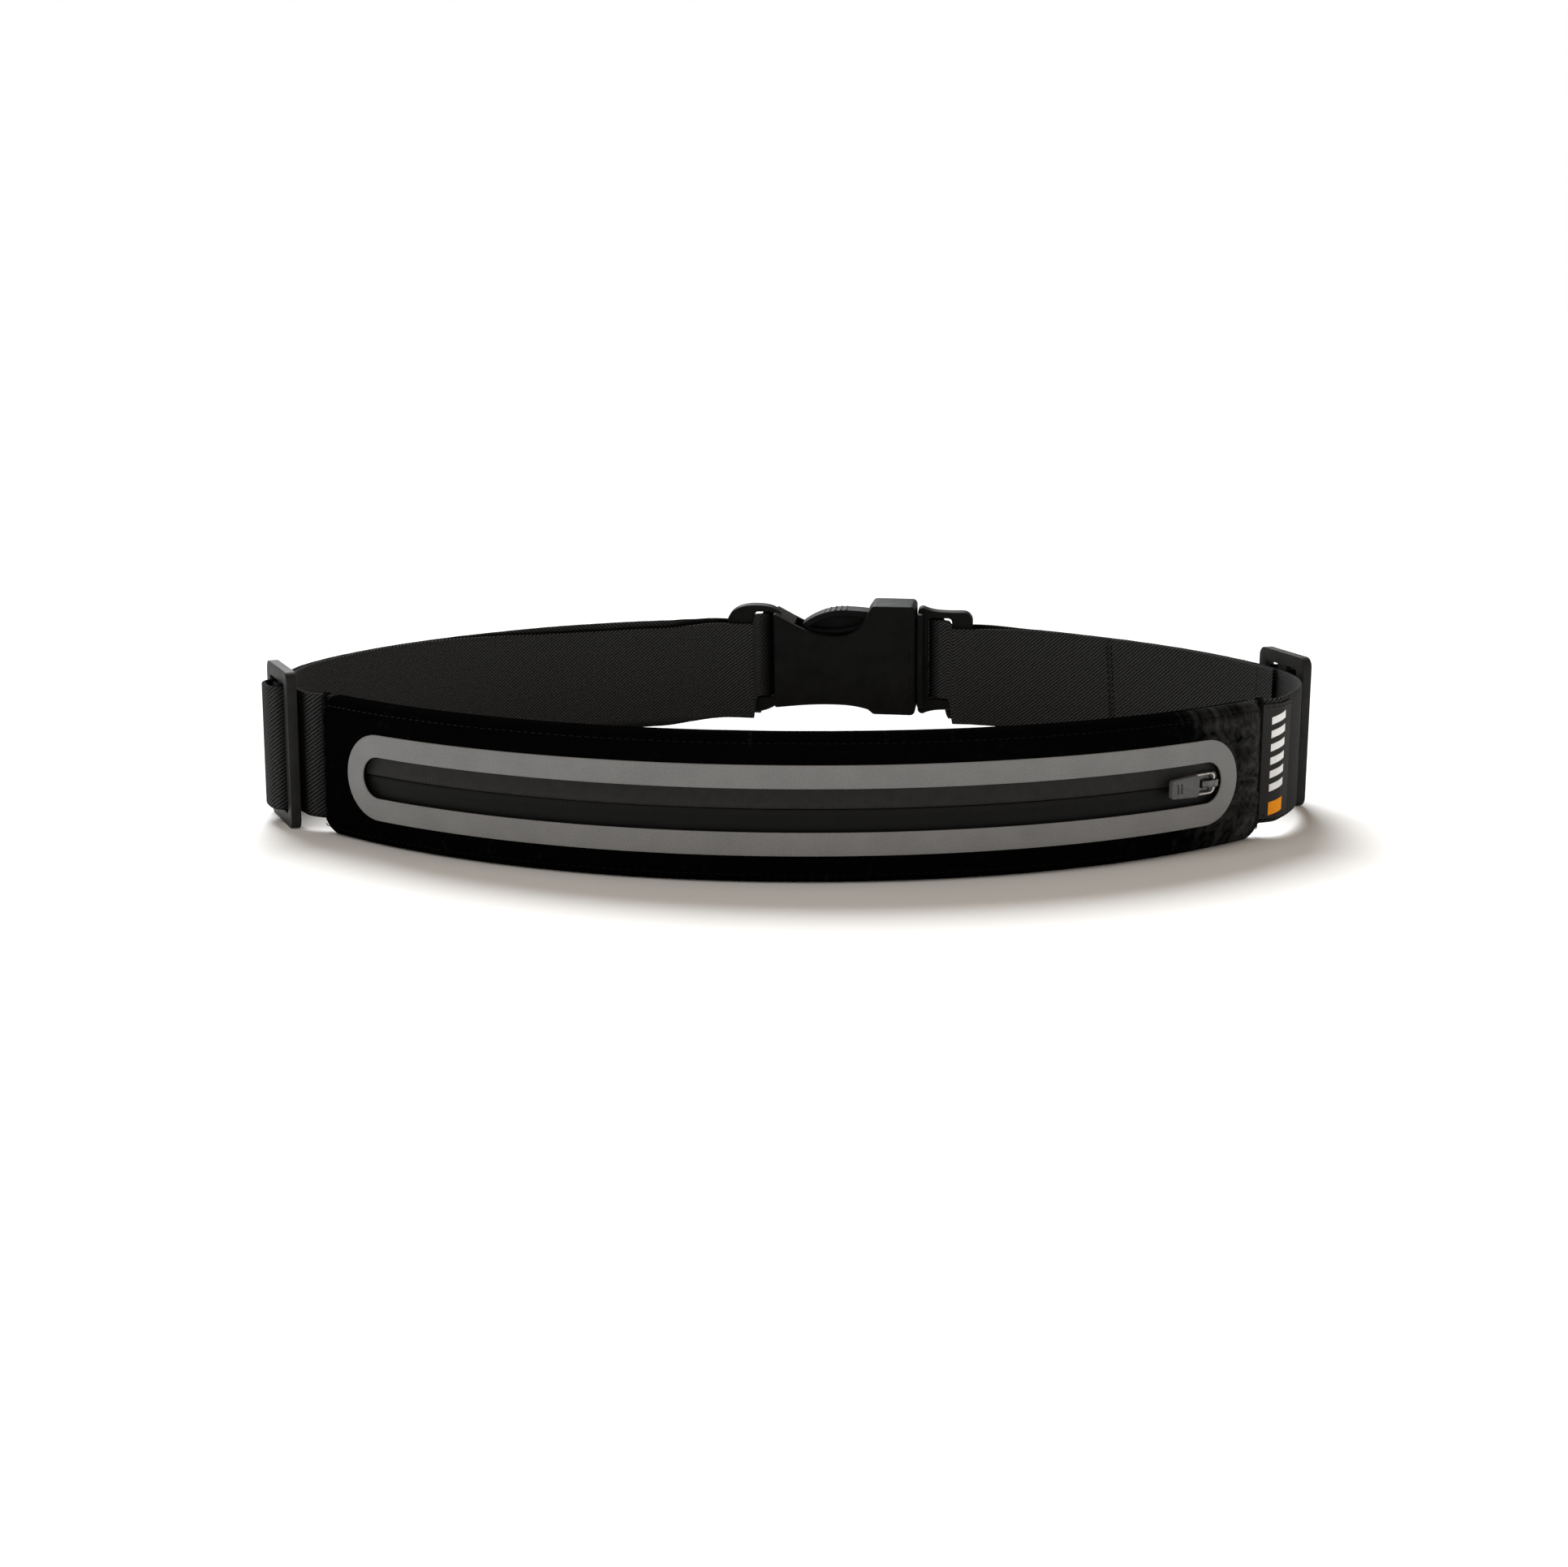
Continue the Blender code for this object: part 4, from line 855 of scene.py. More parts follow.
def zip_coil(name, sign, material):
    """Wound nylon filament sewn to the tape's inner face."""
    turns = int(2 * COIL_HALF_LENGTH / COIL_PITCH) - 1
    per_turn, sides, radius = 12, 6, 0.3
    rows = []
    for i in range(turns * per_turn + 1):
        angle = tau * i / per_turn
        s = COIL_PITCH * (i / per_turn + (1.5 if sign < 0 else 1.0)) - COIL_HALF_LENGTH
        row = []
        for k, (reach, ahead) in enumerate(circle(sides)):
            out = (0.42 + radius * reach) * sin(angle) - 1.1
            up = (1.15 + radius * reach) * cos(angle) + 1.55
            row.append((pouch_point(s + radius * ahead, out, sign * up), s, tau * k / sides))
        rows.append(row)
    return loft(name, rows, material, smooth_angle=80.0)


def slider_matrix():
    place = Matrix.Translation(pouch_point(SLIDER_S, 0.0, 0.0))
    return place @ Matrix.Rotation(SLIDER_S / FRONT_RADIUS, 4, 'Z')


def slider_body(name, material, matrix):
    """Slider with a tapered face and back, side guides, the wedge between the lips and an arched crown."""
    mould = Mould(material, matrix)
    plate = [(u, w * (0.86 + 0.14 * u / 4.0)) for u, w in rounded_rectangle(4.0, 3.3, 1.7)]
    wedge = [(0.2, 0.0), (1.6, 0.5), (3.4, 0.55), (3.4, -0.55), (1.6, -0.5)]
    face = bevel(mould.slab(name, plate, -2.3, -1.2), 0.35)
    tools = [bevel(mould.slab("back_plate", plate, 2.1, 3.2), 0.35), mould.slab("wedge", wedge, -1.4, 2.3)]
    for guide in ((2.75, 3.1), (-3.1, -2.75)):
        tools.append(mould.block("guide", (-2.2, 2.4), (-1.4, -0.95), guide))
    arch = []
    for half_u, rise, order in ((3.4, 2.6, 1), (2.6, 1.8, -1)):
        curve = [(half_u * cos(angle), 2.0 + rise * sin(angle) ** 0.38)
                 for angle in spread(0.0, pi, 18)]
        arch += curve[::order]
    upright = Mould(material, matrix @ Matrix.Rotation(pi / 2, 4, 'X'))
    tools.append(bevel(upright.slab("crown", arch, *both(1.1)), 0.25, 2))
    return combine(face, tools, 'UNION')


def wire_loop(name, outline, radius, material, matrix):
    """Round wire bent into a closed flat outline."""
    rows = []
    for i, (u, w) in enumerate(outline):
        ahead, behind = outline[(i + 1) % len(outline)], outline[i - 1]
        outward = Vector((behind[1] - ahead[1], 0.0, ahead[0] - behind[0])).normalized()
        around = [Vector((u, radius * y, w)) + outward * radius * x for x, y in circle(12)]
        rows.append([(matrix @ local, 0.0, 0.0) for local in around])
    return loft(name, rows, material, ring=True, smooth_angle=80.0)


def pull_tab(name, material, matrix):
    """Moulded rubber tab gripping the loop's far end, with two plain slots."""
    mould = Mould(material, matrix)
    half = PULL_TAB_LENGTH / 2
    middle = 2.05 - PULL_LOOP_LENGTH - half
    outline = [(u, w * (1.0 - 0.10 * (middle - u) / half))
               for u, w in rounded_rectangle(half, 3.0, 1.0, 6, (middle, 0.0))]
    tab = bevel(mould.slab(name, outline, -1.6, 0.15), 0.4, 4)
    tools = []
    for across in (-3.3, -1.9):
        slot = rounded_rectangle(0.38, 1.5, 0.3, 5, (middle + across, 0.0))
        tools.append(mould.slab("slot", slot, -2.0, -1.2))
    return combine(tab, tools, 'DIFFERENCE')


def build_zip(looks):
    for name, sign in (("upper", 1), ("lower", -1)):
        body = "zip_lip_" + name
        tape = zip_tape("zip_film_" + name, sign, looks["zip_film_" + name])
        finish_piece(tape, body, "zip_tape", "zip_tape_" + name)
        coil = zip_coil("zip_teeth_" + name, sign, looks["nylon"])
        finish_piece(coil, body, "zip_coil", "zip_coil_" + name)
    for node in ("zip_top_stop_upper", "zip_top_stop_lower", "zip_bottom_stop"):
        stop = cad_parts[node]
        stop.data.materials.clear()
        stop.data.materials.append(looks["dark_metal"])
        bevel(stop, 0.3)
    matrix = slider_matrix()
    slider = slider_body("slider_body", looks["dark_metal"], matrix)
    finish_piece(slider, "zip_slider", "zip_metal", "zip_slider")
    pivot = matrix @ Matrix.Translation((PULL_PIVOT_U, -PULL_PIVOT_OUT, 0.0))
    half = PULL_LOOP_LENGTH / 2 - PULL_WIRE_RADIUS
    wire = rounded_rectangle(half, SLIDER_HEIGHT / 2 - PULL_WIRE_RADIUS, 1.5, 8, (-half, 0.0))
    loop = wire_loop("pull_wire", wire, PULL_WIRE_RADIUS, looks["metal"], pivot)
    finish_piece(loop, "zip_pull", "zip_metal", "zip_pull_loop")
    finish_piece(pull_tab("pull_grip", looks["rubber"], pivot), "zip_pull", "pull_rubber", "zip_pull_tab")


# ---- straps

def strap_out(distance):
    leave = POUCH_HALF_LENGTH + BINDING_LENGTH
    return blend(POUCH_INSET, LAYER, smoothstep(leave, leave + 9.0, distance))


def strap_height(distance):
    rise = smoothstep(POUCH_HALF_LENGTH, side_distance(GLIDE_LEFT_ANGLE), distance)
    back_start = side_distance(GLIDE_RIGHT_ANGLE)
    lift = smoothstep(back_start, back_start + 110.0, distance)
    return blend(STRAP_Z_POUCH, STRAP_Z_SIDE, rise) + (STRAP_Z_BUCKLE - STRAP_Z_SIDE) * lift


def strap_station(s, out):
    """One cross-section of the strap on the ring: point, width direction and half width."""
    lean = BUCKLE_LEAN * smoothstep(BACK_START, BACK_START + 90.0, abs(s))
    across = UP * cos(lean) - ring_normal(s) * sin(lean)
    return ring_point(s, out, strap_height(abs(s))), across, STRAP_WIDTH / 2


def buckle_matrix():
    turn = asin(BUCKLE_X / BACK_RADIUS)
    outward = Vector((sin(turn), cos(turn), 0.0))
    centre = BACK_CENTRE + outward * (BACK_RADIUS - BUCKLE_INSET)
    place = Matrix.Translation((centre.x, centre.y, BUCKLE_Z))
    return place @ Matrix.Rotation(-turn, 4, 'Z') @ Matrix.Rotation(BUCKLE_LEAN, 4, 'X')


def hermite_run(start, end, start_direction, end_direction, steps):
    reach = (end[0] - start[0]).length
    run = []
    for t in spread(0.0, 1.0, steps)[1:-1]:
        point = blend(start[0], end[0], 3 * t ** 2 - 2 * t ** 3)
        point += start_direction * (reach * (t ** 3 - 2 * t ** 2 + t))
        point += end_direction * (reach * (t ** 3 - t ** 2))
        run.append((point, blend(start[1], end[1], t).normalized(), blend(start[2], end[2], t)))
    return run


def bar_loop(matrix, bar_edge, away, facing, slot_width, slot_half):
    """The strap's loose fold round a bar, from its outer face through the slot to its inner face."""
    radius = FRAME_HALF_THICK + 0.3 + STRAP_THICK / 2
    across = (matrix.to_3x3() @ UP).normalized()
    corner = bar_edge - facing * radius * 0.3
    reach = slot_width + radius * 0.3 - STRAP_THICK / 2 - 0.05
    plan = [(bar_edge - facing * away * share, radius, 0.0) for share in (1.0, 0.8, 0.6, 0.4, 0.2)]
    for i in range(37):
        angle = radians(90 - 5 * i)
        squeeze = smoothstep(3.0, 7.0, min(i, 36 - i))
        turn = abs(cos(angle)) ** (1.0 if angle > 0.0 else 2.6)
        plan.append((corner + facing * reach * turn, radius * sin(angle), squeeze))
    plan += [(bar_edge - facing * away * share, -radius, 0.0) for share in (0.2, 0.4, 0.6, 0.8, 1.0)]
    stations = []
    for u, v, squeeze in plan:
        point = matrix @ Vector((u, v, blend(STRAP_SAG, 0.0, squeeze)))
        stations.append((point, across, blend(STRAP_WIDTH / 2 - 0.7, slot_half - 0.45, squeeze)))
    return stations


def folded_path(outer, loop, inner, leaving, outward):
    """The outer run, the fold round a bar and the inner run, joined by smooth leads."""
    path = outer + hermite_run(outer[-1], loop[0], leaving, outward, 14) + loop
    return path + hermite_run(loop[-1], inner[0], -outward, -leaving, 14) + inner


def ring_run(start, end, out, step=1.6, drop=0.0):
    """Strap along the ring; drop lowers its start, easing out towards its end."""
    run = []
    for t in spread(0.0, 1.0, max(2, int(abs(end - start) / step))):
        point, across, half = strap_station(blend(start, end, t), out)
        run.append((point - across * drop * (1.0 - smoothstep(0.25, 1.0, t)), across, half))
    return run


def lead_run(side, end):
    """The strap from the pouch's end out to the ring's outer layer."""
    return [strap_station(side * distance, strap_out(distance))
            for distance in spread(POUCH_HALF_LENGTH + 0.3, end, 16)[:-1]]


def measured(stations, start=0.0):
    """Add the distance along to each station."""
    total = start
    result = []
    for i, station in enumerate(stations):
        total += (station[0] - stations[max(i - 1, 0)][0]).length
        result.append((*station, total))
    return result


def distance_at(point):
    angle = atan2(abs(point.x), point.y - BACK_CENTRE.y)
    return BACK_START + BACK_RADIUS * (pi - angle - SIDE_END_ANGLE)


def face_path(s, out, facing, half_width, offset):
    """A stitch path across the strap at one place, on its outer or inner face."""
    point, across, _ = strap_station(s, out + facing * STRAP_THICK / 2)
    normal = ring_normal(s) * facing
    point = point + ring_direction(s) * offset
    return [(point + across * (half_width * k / 6), normal) for k in range(-6, 7)]


def follow(piece, end, node=None):
    """Fix the webbing's mesh in the frame and stand for its CAD node. The end argument is not used."""
    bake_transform(piece)
    if node:
        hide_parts(node)


def build_left_strap(web, matrix, leave, bar_direction):
    """Outer run, fold round the socket's bar and inner run, then the tail that runs on to the tri-glide."""
    slide_zone = BACK_START + 46.0
    tail_end = side_distance(GLIDE_LEFT_ANGLE)
    outer = lead_run(-1.0, CURVED_END) + ring_run(-CURVED_END, -leave, LAYER)
    loop = bar_loop(matrix, SOCKET_BAR_RIGHT, BUCKLE_HALF_LENGTH + SOCKET_BAR_RIGHT, 1,
                    SOCKET_SLOT_RIGHT - SOCKET_BAR_RIGHT, SLOT_HALF_HEIGHT)
    inner = ring_run(-leave, -slide_zone, -LAYER, drop=2.6)
    stations = measured(folded_path(outer, loop, inner, ring_direction(-leave), bar_direction))
    left = strip("webbing_left", stations, web, ripple=0.12, lay=-1.0)
    finish_piece(left, "root", "webbing", "strap_left")
    rest = measured(ring_run(-slide_zone, -tail_end, -LAYER, 1.0), stations[-1][3])
    tail = strip("webbing_left_tail", rest, web, lay=-1.0)
    follow(tail, ring_point(-tail_end, -LAYER, STRAP_Z_SIDE), "strap_left")


def build_right_strap(web, thread_look, matrix, seam, leave, bar_direction):
    """Outer and inner runs up to the cross seam, and beyond it the fold round the plug's bar."""
    plug_end = matrix @ Vector((BUCKLE_HALF_LENGTH, 0.0, STRAP_SAG))
    still = ring_point(BACK_START + 19.0, 0.0, STRAP_Z_SIDE)
    takeup_end = BACK_START + 6.0
    glide = side_distance(GLIDE_RIGHT_ANGLE)
    outer = measured(lead_run(1.0, CURVED_END) + ring_run(CURVED_END, seam, LAYER))
    follow(strip("webbing_right", outer, web, ripple=0.12), plug_end, "strap_right")
    run = measured(ring_run(seam, takeup_end, -LAYER))
    follow(strip("webbing_right_inner", run, web), plug_end, "strap_right_return")
    takeup = measured(ring_run(takeup_end, glide, -LAYER, 0.3), run[-1][3])
    tail = strip("webbing_right_tail", takeup, web, STRAP_THICK - 0.1)
    glide_end = ring_point(glide, -LAYER, STRAP_Z_SIDE)
    follow(tail, glide_end, "strap_right_return")
    loop = bar_loop(matrix, PLUG_BAR_LEFT, BUCKLE_HALF_LENGTH - PLUG_BAR_LEFT, -1,
                    PLUG_BAR_LEFT - PLUG_SLOT_LEFT, PLUG_SLOT_HALF_HEIGHT)
    start = seam + 0.2
    path = folded_path(ring_run(start, leave, LAYER), loop, ring_run(leave, start, -LAYER),
                       ring_direction(leave), -bar_direction)
    fold = strip("webbing_right_fold", measured(path, outer[-1][3]), web, ripple=0.1)
    follow(fold, plug_end, "strap_right_loop")
    rows = []
    for offset in both(0.9):
        for facing in (1, -1):
            rows.append(face_path(seam, facing * LAYER, facing, STRAP_WIDTH / 2 - 2.0, offset))
    seam_thread = stitches("strap_seam_thread", rows, thread_look, 2.2, 0.3, 0.16, 0.08)
    follow(seam_thread, plug_end)


def build_straps(looks, matrix):
    left_bar, right_bar = [distance_at(matrix @ Vector((u, 0.0, 0.0))) for u in both(BUCKLE_HALF_LENGTH)]
    bar_direction = (matrix.to_3x3() @ Vector((1.0, 0.0, 0.0))).normalized()
    build_left_strap(looks["webbing"], matrix, left_bar - LEAD_FROM_BAR, bar_direction)
    build_right_strap(looks["webbing"], looks["dark_thread"], matrix, right_bar - SEAM_FROM_BAR,
                      right_bar - LEAD_FROM_BAR, bar_direction)


def glide_matrix(heading, side):
    axis = Matrix.Translation((side * SIDE_X, SIDE_Y, 0.0))
    return axis @ Matrix.Rotation(side * heading, 4, 'Z')


def rail_slab(name, matrix, material):
    """Tri-glide frame: rounded rails, two slots, grooved end bars and a centre bar set below the face."""
    mould = Mould(material, matrix)
    low, high = -GLIDE_FACE, -GLIDE_BACK
    middle = GLIDE_HALF_HEIGHT
    outline = rounded_rectangle(GLIDE_HALF_LENGTH, GLIDE_HALF_HEIGHT, 3.0, 8, (0.0, middle))
    slot_inner = GLIDE_CENTRE_BAR / 2
    slot_half = (GLIDE_HALF_LENGTH - GLIDE_END_BAR - slot_inner) / 2
    slot_middle = slot_inner + slot_half
    holes = [rounded_rectangle(slot_half, GLIDE_HALF_HEIGHT - GLIDE_RAIL, 1.2, 5, (u, middle))
             for u in both(slot_middle)]
    body = bevel(mould.slab(name, outline, low, high, holes), 0.8, 4)
    w_range = (GLIDE_RAIL, 2 * GLIDE_HALF_HEIGHT - GLIDE_RAIL)
    u_range = both(slot_inner + 0.9)
    tools = [mould.block("recess", u_range, (low - 1.0, low + 0.8), w_range),
             mould.block("relief", u_range, (high - 0.4, high + 1.0), w_range)]
    for sign in (-1, 1):
        for i in range(3):
            u = sign * (GLIDE_HALF_LENGTH - 1.3 - i)
            tools.append(mould.block("groove", (u - 0.18, u + 0.18), (low - 1.0, low + 0.14), (7.0, 41.0)))
    return combine(body, tools, 'DIFFERENCE')


def glide_strip(name, plan, matrix, material, thickness):
    """Webbing on the tri-glide along a plan of local (along, out) points, smoothed."""
    points = [Vector((u, v)) for u, v in plan]
    for _ in range(2):
        cut = [points[0]]
        for a, b in zip(points, points[1:]):
            cut += [blend(a, b, 0.25), blend(a, b, 0.75)]
        points = cut + [points[-1]]
    middle = STRAP_Z_SIDE + 0.3
    stations = [(matrix @ Vector((p.x, p.y, middle)), UP, STRAP_WIDTH / 2) for p in points]
    return strip(name, measured(stations), material, thickness)


def build_glide(looks, side_name, heading, side, slack_out):
    """A tri-glide with its two pieces of webbing; slack_out is how loosely the crossing bulges."""
    matrix = glide_matrix(heading, side)
    body_name = "tri_glide_" + side_name
    body = rail_slab("glide_frame_" + side_name, matrix, looks["glide"])
    finish_piece(body, body_name, "glide_plastic", body_name)
    face = 0.5 - GLIDE_FACE - GLIDE_WEB_THICK / 2
    half = GLIDE_CENTRE_BAR / 2 + 0.3 + GLIDE_WEB_THICK / 2
    end = -GLIDE_BACK - 0.6
    anchor = [(-half, end), (-half, face + 0.9), (-half, face), (half, face), (half, face + 0.9), (half, end)]
    fold = glide_strip("webbing_fold_" + side_name, anchor, matrix, looks["webbing"], GLIDE_WEB_THICK)
    finish_piece(fold, body_name, "webbing", "strap_%s_anchor" % side_name)
    top = face - GLIDE_WEB_THICK / 2 - 0.3 - STRAP_THICK / 2 - slack_out
    foot = -(SIDE_RADIUS + LAYER + STRAP_THICK / 2 + 0.8)
    rise = [(-8.4, foot), (-7.9, blend(foot, top, 0.3)), (-6.6, blend(foot, top, 0.72)),
            (-4.2, blend(foot, top, 0.97))]
    plan = rise + [(0.0, top)] + [(-u, v) for u, v in reversed(rise)]
    crossing = glide_strip("webbing_crossing_" + side_name, plan, matrix, looks["webbing"], STRAP_THICK)
    finish_piece(crossing, body_name, "webbing", "strap_%s_crossing" % side_name)


def label_patch(name, bands, material):
    """Raised woven marks on the label: slanted bars, each a (low, high, slant) in height."""
    verts, faces, uvs = [], [], []
    start, end = LABEL_FROM + 2.5, LABEL_FROM + 7.3
    for low, high, slant in bands:
        base = len(verts)
        for i in range(9):
            distance = blend(start, end, i / 8)
            lean = slant * (i / 8 - 0.5)
            for up in (low + lean, high + lean):
                for out in (LABEL_LIFT, LABEL_LIFT + 0.14):
                    verts.append(ring_point(distance, strap_out(distance) + out, strap_height(distance) + up))
                    uvs.append((distance, up))
        for a in range(base, base + 32, 4):
            b = a + 4
            for i, j in ((0, 1), (1, 3), (3, 2), (2, 0)):
                faces.append((a + i, a + j, b + j, b + i))
        faces += [(base, base + 2, base + 3, base + 1), (base + 32, base + 33, base + 35, base + 34)]
    return new_object(name, verts, faces, material, uvs)


def build_label(looks):
    stations = []
    for distance in spread(LABEL_FROM, LABEL_TO, 24):
        point, across, _ = strap_station(distance, strap_out(distance) + STRAP_THICK / 2 + 0.35)
        stations.append((point, across, 17.5))
    cloth = strip("side_label", measured(stations), looks["label"], 0.4, 30)
    finish_piece(cloth, "root", "label", "strap_label")
    dashes = [(12.0 - 4.1 * i, 14.2 - 4.1 * i, 1.6) for i in range(6)]
    finish_piece(label_patch("label_dashes", dashes, looks["white_thread"]), "root", "label")
    finish_piece(label_patch("label_bar", [(-16.0, -12.0, 1.2)], looks["orange_thread"]), "root", "label")
    edges = []
    for up in both(16.6):
        path = []
        for distance in spread(LABEL_FROM + 0.5, LABEL_TO - 0.5, 12):
            out = strap_out(distance) + LABEL_LIFT
            path.append((ring_point(distance, out, strap_height(distance) + up), ring_normal(distance)))
        edges.append(path)
    thread_piece = stitches("label_thread", edges, looks["dark_thread"], 1.8, 0.3, 0.12, 0.06)
    finish_piece(thread_piece, "root", "label")


# ---- buckle

def waist_curve(depth, end_height):
    """The plates' edge from the body's left end over the finger cut-out and along the collar."""
    low_point = (-5.0, depth)
    start = (BODY_LEFT, end_height)
    shoulder = (-19.0, blend(depth, start[1], 0.45))
    left = bezier(start, shoulder, (-14.0, depth), low_point, 18)
    corner = 1.8
    top = BUCKLE_HALF_HEIGHT - corner
    lean = radians(70)
    foot = (COLLAR_LEFT + corner * (1.0 - cos(lean)), top + corner * sin(lean))
    rise = (5.0, blend(depth, BUCKLE_HALF_HEIGHT, 0.3))
    right = bezier(low_point, (2.5, depth), rise, (foot[0] - 1.6, foot[1] - 1.5), 16)
    collar = arc_points((COLLAR_LEFT + corner, top), corner, 130, 90, 5)
    return left + right + collar + arc_points((BODY_RIGHT - corner, top), corner, 90, 0, 6)


def socket_body(name, material, matrix):
    """Socket: a hollow body with a finger cut-out above and below, and a flat web with the strap's slot."""
    mould = Mould(material, matrix)
    outline = waist_curve(WAIST_HALF_HEIGHT, 17.0) + mirrored(waist_curve(LOWER_WAIST, 19.2))
    socket = bevel(mould.slab(name, outline, *both(BUCKLE_HALF_THICK)), 1.0, 4)
    combine(socket, [mould.block("cavity", (-20.0, BODY_RIGHT + 1.0), both(4.4), both(18.65))], 'DIFFERENCE')
    left, rail, low_rail, web_right = -BUCKLE_HALF_LENGTH, 18.9, 22.4, -24.5
    upper = bezier((left, 13.0), (left + 0.8, 16.8), (-40.0, rail), (-34.8, rail), 12)
    upper += bezier((-34.8, rail), (-30.5, rail), (-26.8, 18.6), (web_right, 15.0), 10) + [(web_right, 15.0)]
    lower = bezier((left, 13.0), (left, 20.0), (-41.5, low_rail), (-36.5, low_rail), 12)
    lower += bezier((-36.5, low_rail), (-32.0, low_rail), (-27.0, 20.4), (web_right, 16.4), 10)
    lower.append((web_right, 16.4))
    slot_half = (SOCKET_SLOT_RIGHT - SOCKET_BAR_RIGHT) / 2
    hole = rounded_rectangle(slot_half, SLOT_HALF_HEIGHT, 1.5, 6, (SOCKET_SLOT_RIGHT - slot_half, 0.0))
    web = mould.slab("web", upper + mirrored(lower), *both(FRAME_HALF_THICK), [hole])
    tools = [bevel(web, 1.0, 4)]
    for facing in (1, -1):
        v_range = sorted((facing * (BUCKLE_HALF_THICK - 1.0), facing * (BUCKLE_HALF_THICK + 0.25)))
        lip = mould.block("lip", (BODY_RIGHT - 1.9, BODY_RIGHT - 0.4), v_range, both(18.6))
        tools.append(bevel(lip, 0.22, 2))
    return combine(socket, tools, 'UNION')


def plug_body(name, material, matrix):
    """Plug: a flat frame with the strap's slot, a shoulder that meets the socket and a guide tongue."""
    mould = Mould(material, matrix)
    left, corner = BODY_RIGHT + 0.6, 41.5
    upper = [(left, 18.4), (left + 1.0, 19.4)]
    upper += bezier((left + 2.0, 19.4), (31.0, 17.4), (36.0, 17.9), (corner, 17.9), 10)
    upper += arc_points((corner, 14.4), 3.5, 90, 0, 8)
    slot_half = (PLUG_BAR_LEFT - PLUG_SLOT_LEFT) / 2
    hole = rounded_rectangle(slot_half, PLUG_SLOT_HALF_HEIGHT, 1.5, 6, (PLUG_SLOT_LEFT + slot_half, 0.0))
    outline = upper + [(u, w * 1.09) for u, w in mirrored(upper)]
    plug = bevel(mould.slab(name, outline, *both(FRAME_HALF_THICK), [hole]), 1.0, 4)
    tools = []
    for u_range, half_v, half_w in (((13.0, left + 1.5), 3.4, 10.0), ((-9.0, 14.0), 1.6, 3.4),
                                    ((left, left + 2.2), 5.6, 17.6)):
        tools.append(bevel(mould.block("block", u_range, both(half_v), both(half_w)), 0.5))
    return combine(plug, tools, 'UNION')


def strip_outline(centre_line, half_width):
    left, right = [], []
    for i, (u, w) in enumerate(centre_line):
        ahead = centre_line[min(i + 1, len(centre_line) - 1)]
        behind = centre_line[max(i - 1, 0)]
        along = Vector((ahead[0] - behind[0], ahead[1] - behind[1])).normalized() * half_width
        left.append((u - along.y, w + along.x))
        right.append((u + along.y, w - along.x))
    return left + right[::-1]


def arm_body(name, sign, material, matrix):
    """Spring arm: an outer strip with a ribbed finger pad and an inner strip that backs it."""
    mould = Mould(material, matrix)
    pad, hook, dip = (-2.0, 16.9), (-16.5, 11.4), (0.0, 10.4)
    outer = bezier((24.0, 14.5), (12.0, 15.6), (6.0, 17.0), pad, 14)
    outer += bezier(pad, (-8.0, 16.8), (-13.0, 14.4), hook, 14) + [hook]
    inner = bezier((-16.2, 11.3), (-12.0, 9.2), (-6.0, 9.0), dip, 12)
    inner += bezier(dip, (4.0, 11.4), (7.0, 13.2), (10.0, 15.4), 10)

    def placed(points):
        return [(u, sign * w) for u, w in points]

    arm = bevel(mould.slab(name, strip_outline(placed(outer), 1.2), *both(3.2)), 0.5)
    # A thin web of the arm's black plastic closes the opening between the strips: a dark sheet standing in
    # for the shade seen through it.
    gap = placed([point for point in outer if point[0] < 9.0] + inner)
    tools = [bevel(mould.slab("strand", strip_outline(placed(inner), 0.95), *both(3.0)), 0.4, 2),
             mould.slab("shade_web", gap, *both(0.7))]
    for i in range(5):
        u = 2.0 * i - 9.0
        foot = min(outer, key=lambda point: abs(point[0] - u))[1]
        rib = sorted((sign * (foot + 0.7), sign * (foot + 1.45)))
        tools.append(bevel(mould.block("ridge", (u - 0.35, u + 0.35), both(2.6), rib), 0.2, 2))
    return combine(arm, tools, 'UNION')


def build_buckle(looks, matrix):
    plastic = looks["buckle"]
    finish_piece(socket_body("socket_body", plastic, matrix), "root", "buckle_plastic", "buckle_socket")
    finish_piece(plug_body("plug_body", plastic, matrix), "buckle_plug", "buckle_plastic", "buckle_plug")
    for name, sign in (("upper", 1), ("lower", -1)):
        arm = arm_body("spring_arm_" + name, sign, plastic, matrix)
        finish_piece(arm, "buckle_arm_" + name, "buckle_plastic", "buckle_arm_" + name)


# ---- studio

def build_floor():
    """Pale floor, wide enough to reach the horizon."""
    reach = 60.0
    mesh = bpy.data.meshes.new("studio_floor")
    corners = [(-reach, -reach, 0.0), (reach, -reach, 0.0), (reach, reach, 0.0), (-reach, reach, 0.0)]
    mesh.from_pydata(corners, [], [(0, 1, 2, 3)])
    mesh.materials.append(floor_material())
    add_item("studio_floor", mesh)


def add_light(name, kind, location, watts, tint=(1.0, 1.0, 1.0), size=1.0):
    """A light aimed at the belt: size is an area light's side in metres or a sun's width in degrees."""
    data = bpy.data.lights.new(name, kind)
    if kind == 'SUN':
        data.angle = radians(size)
    else:
        data.size = size
    data.energy = watts
    data.color = tint
    item = add_item(name, data)
    item.location = location
    item.rotation_euler = (-Vector(location)).to_track_quat('-Z', 'Y').to_euler()


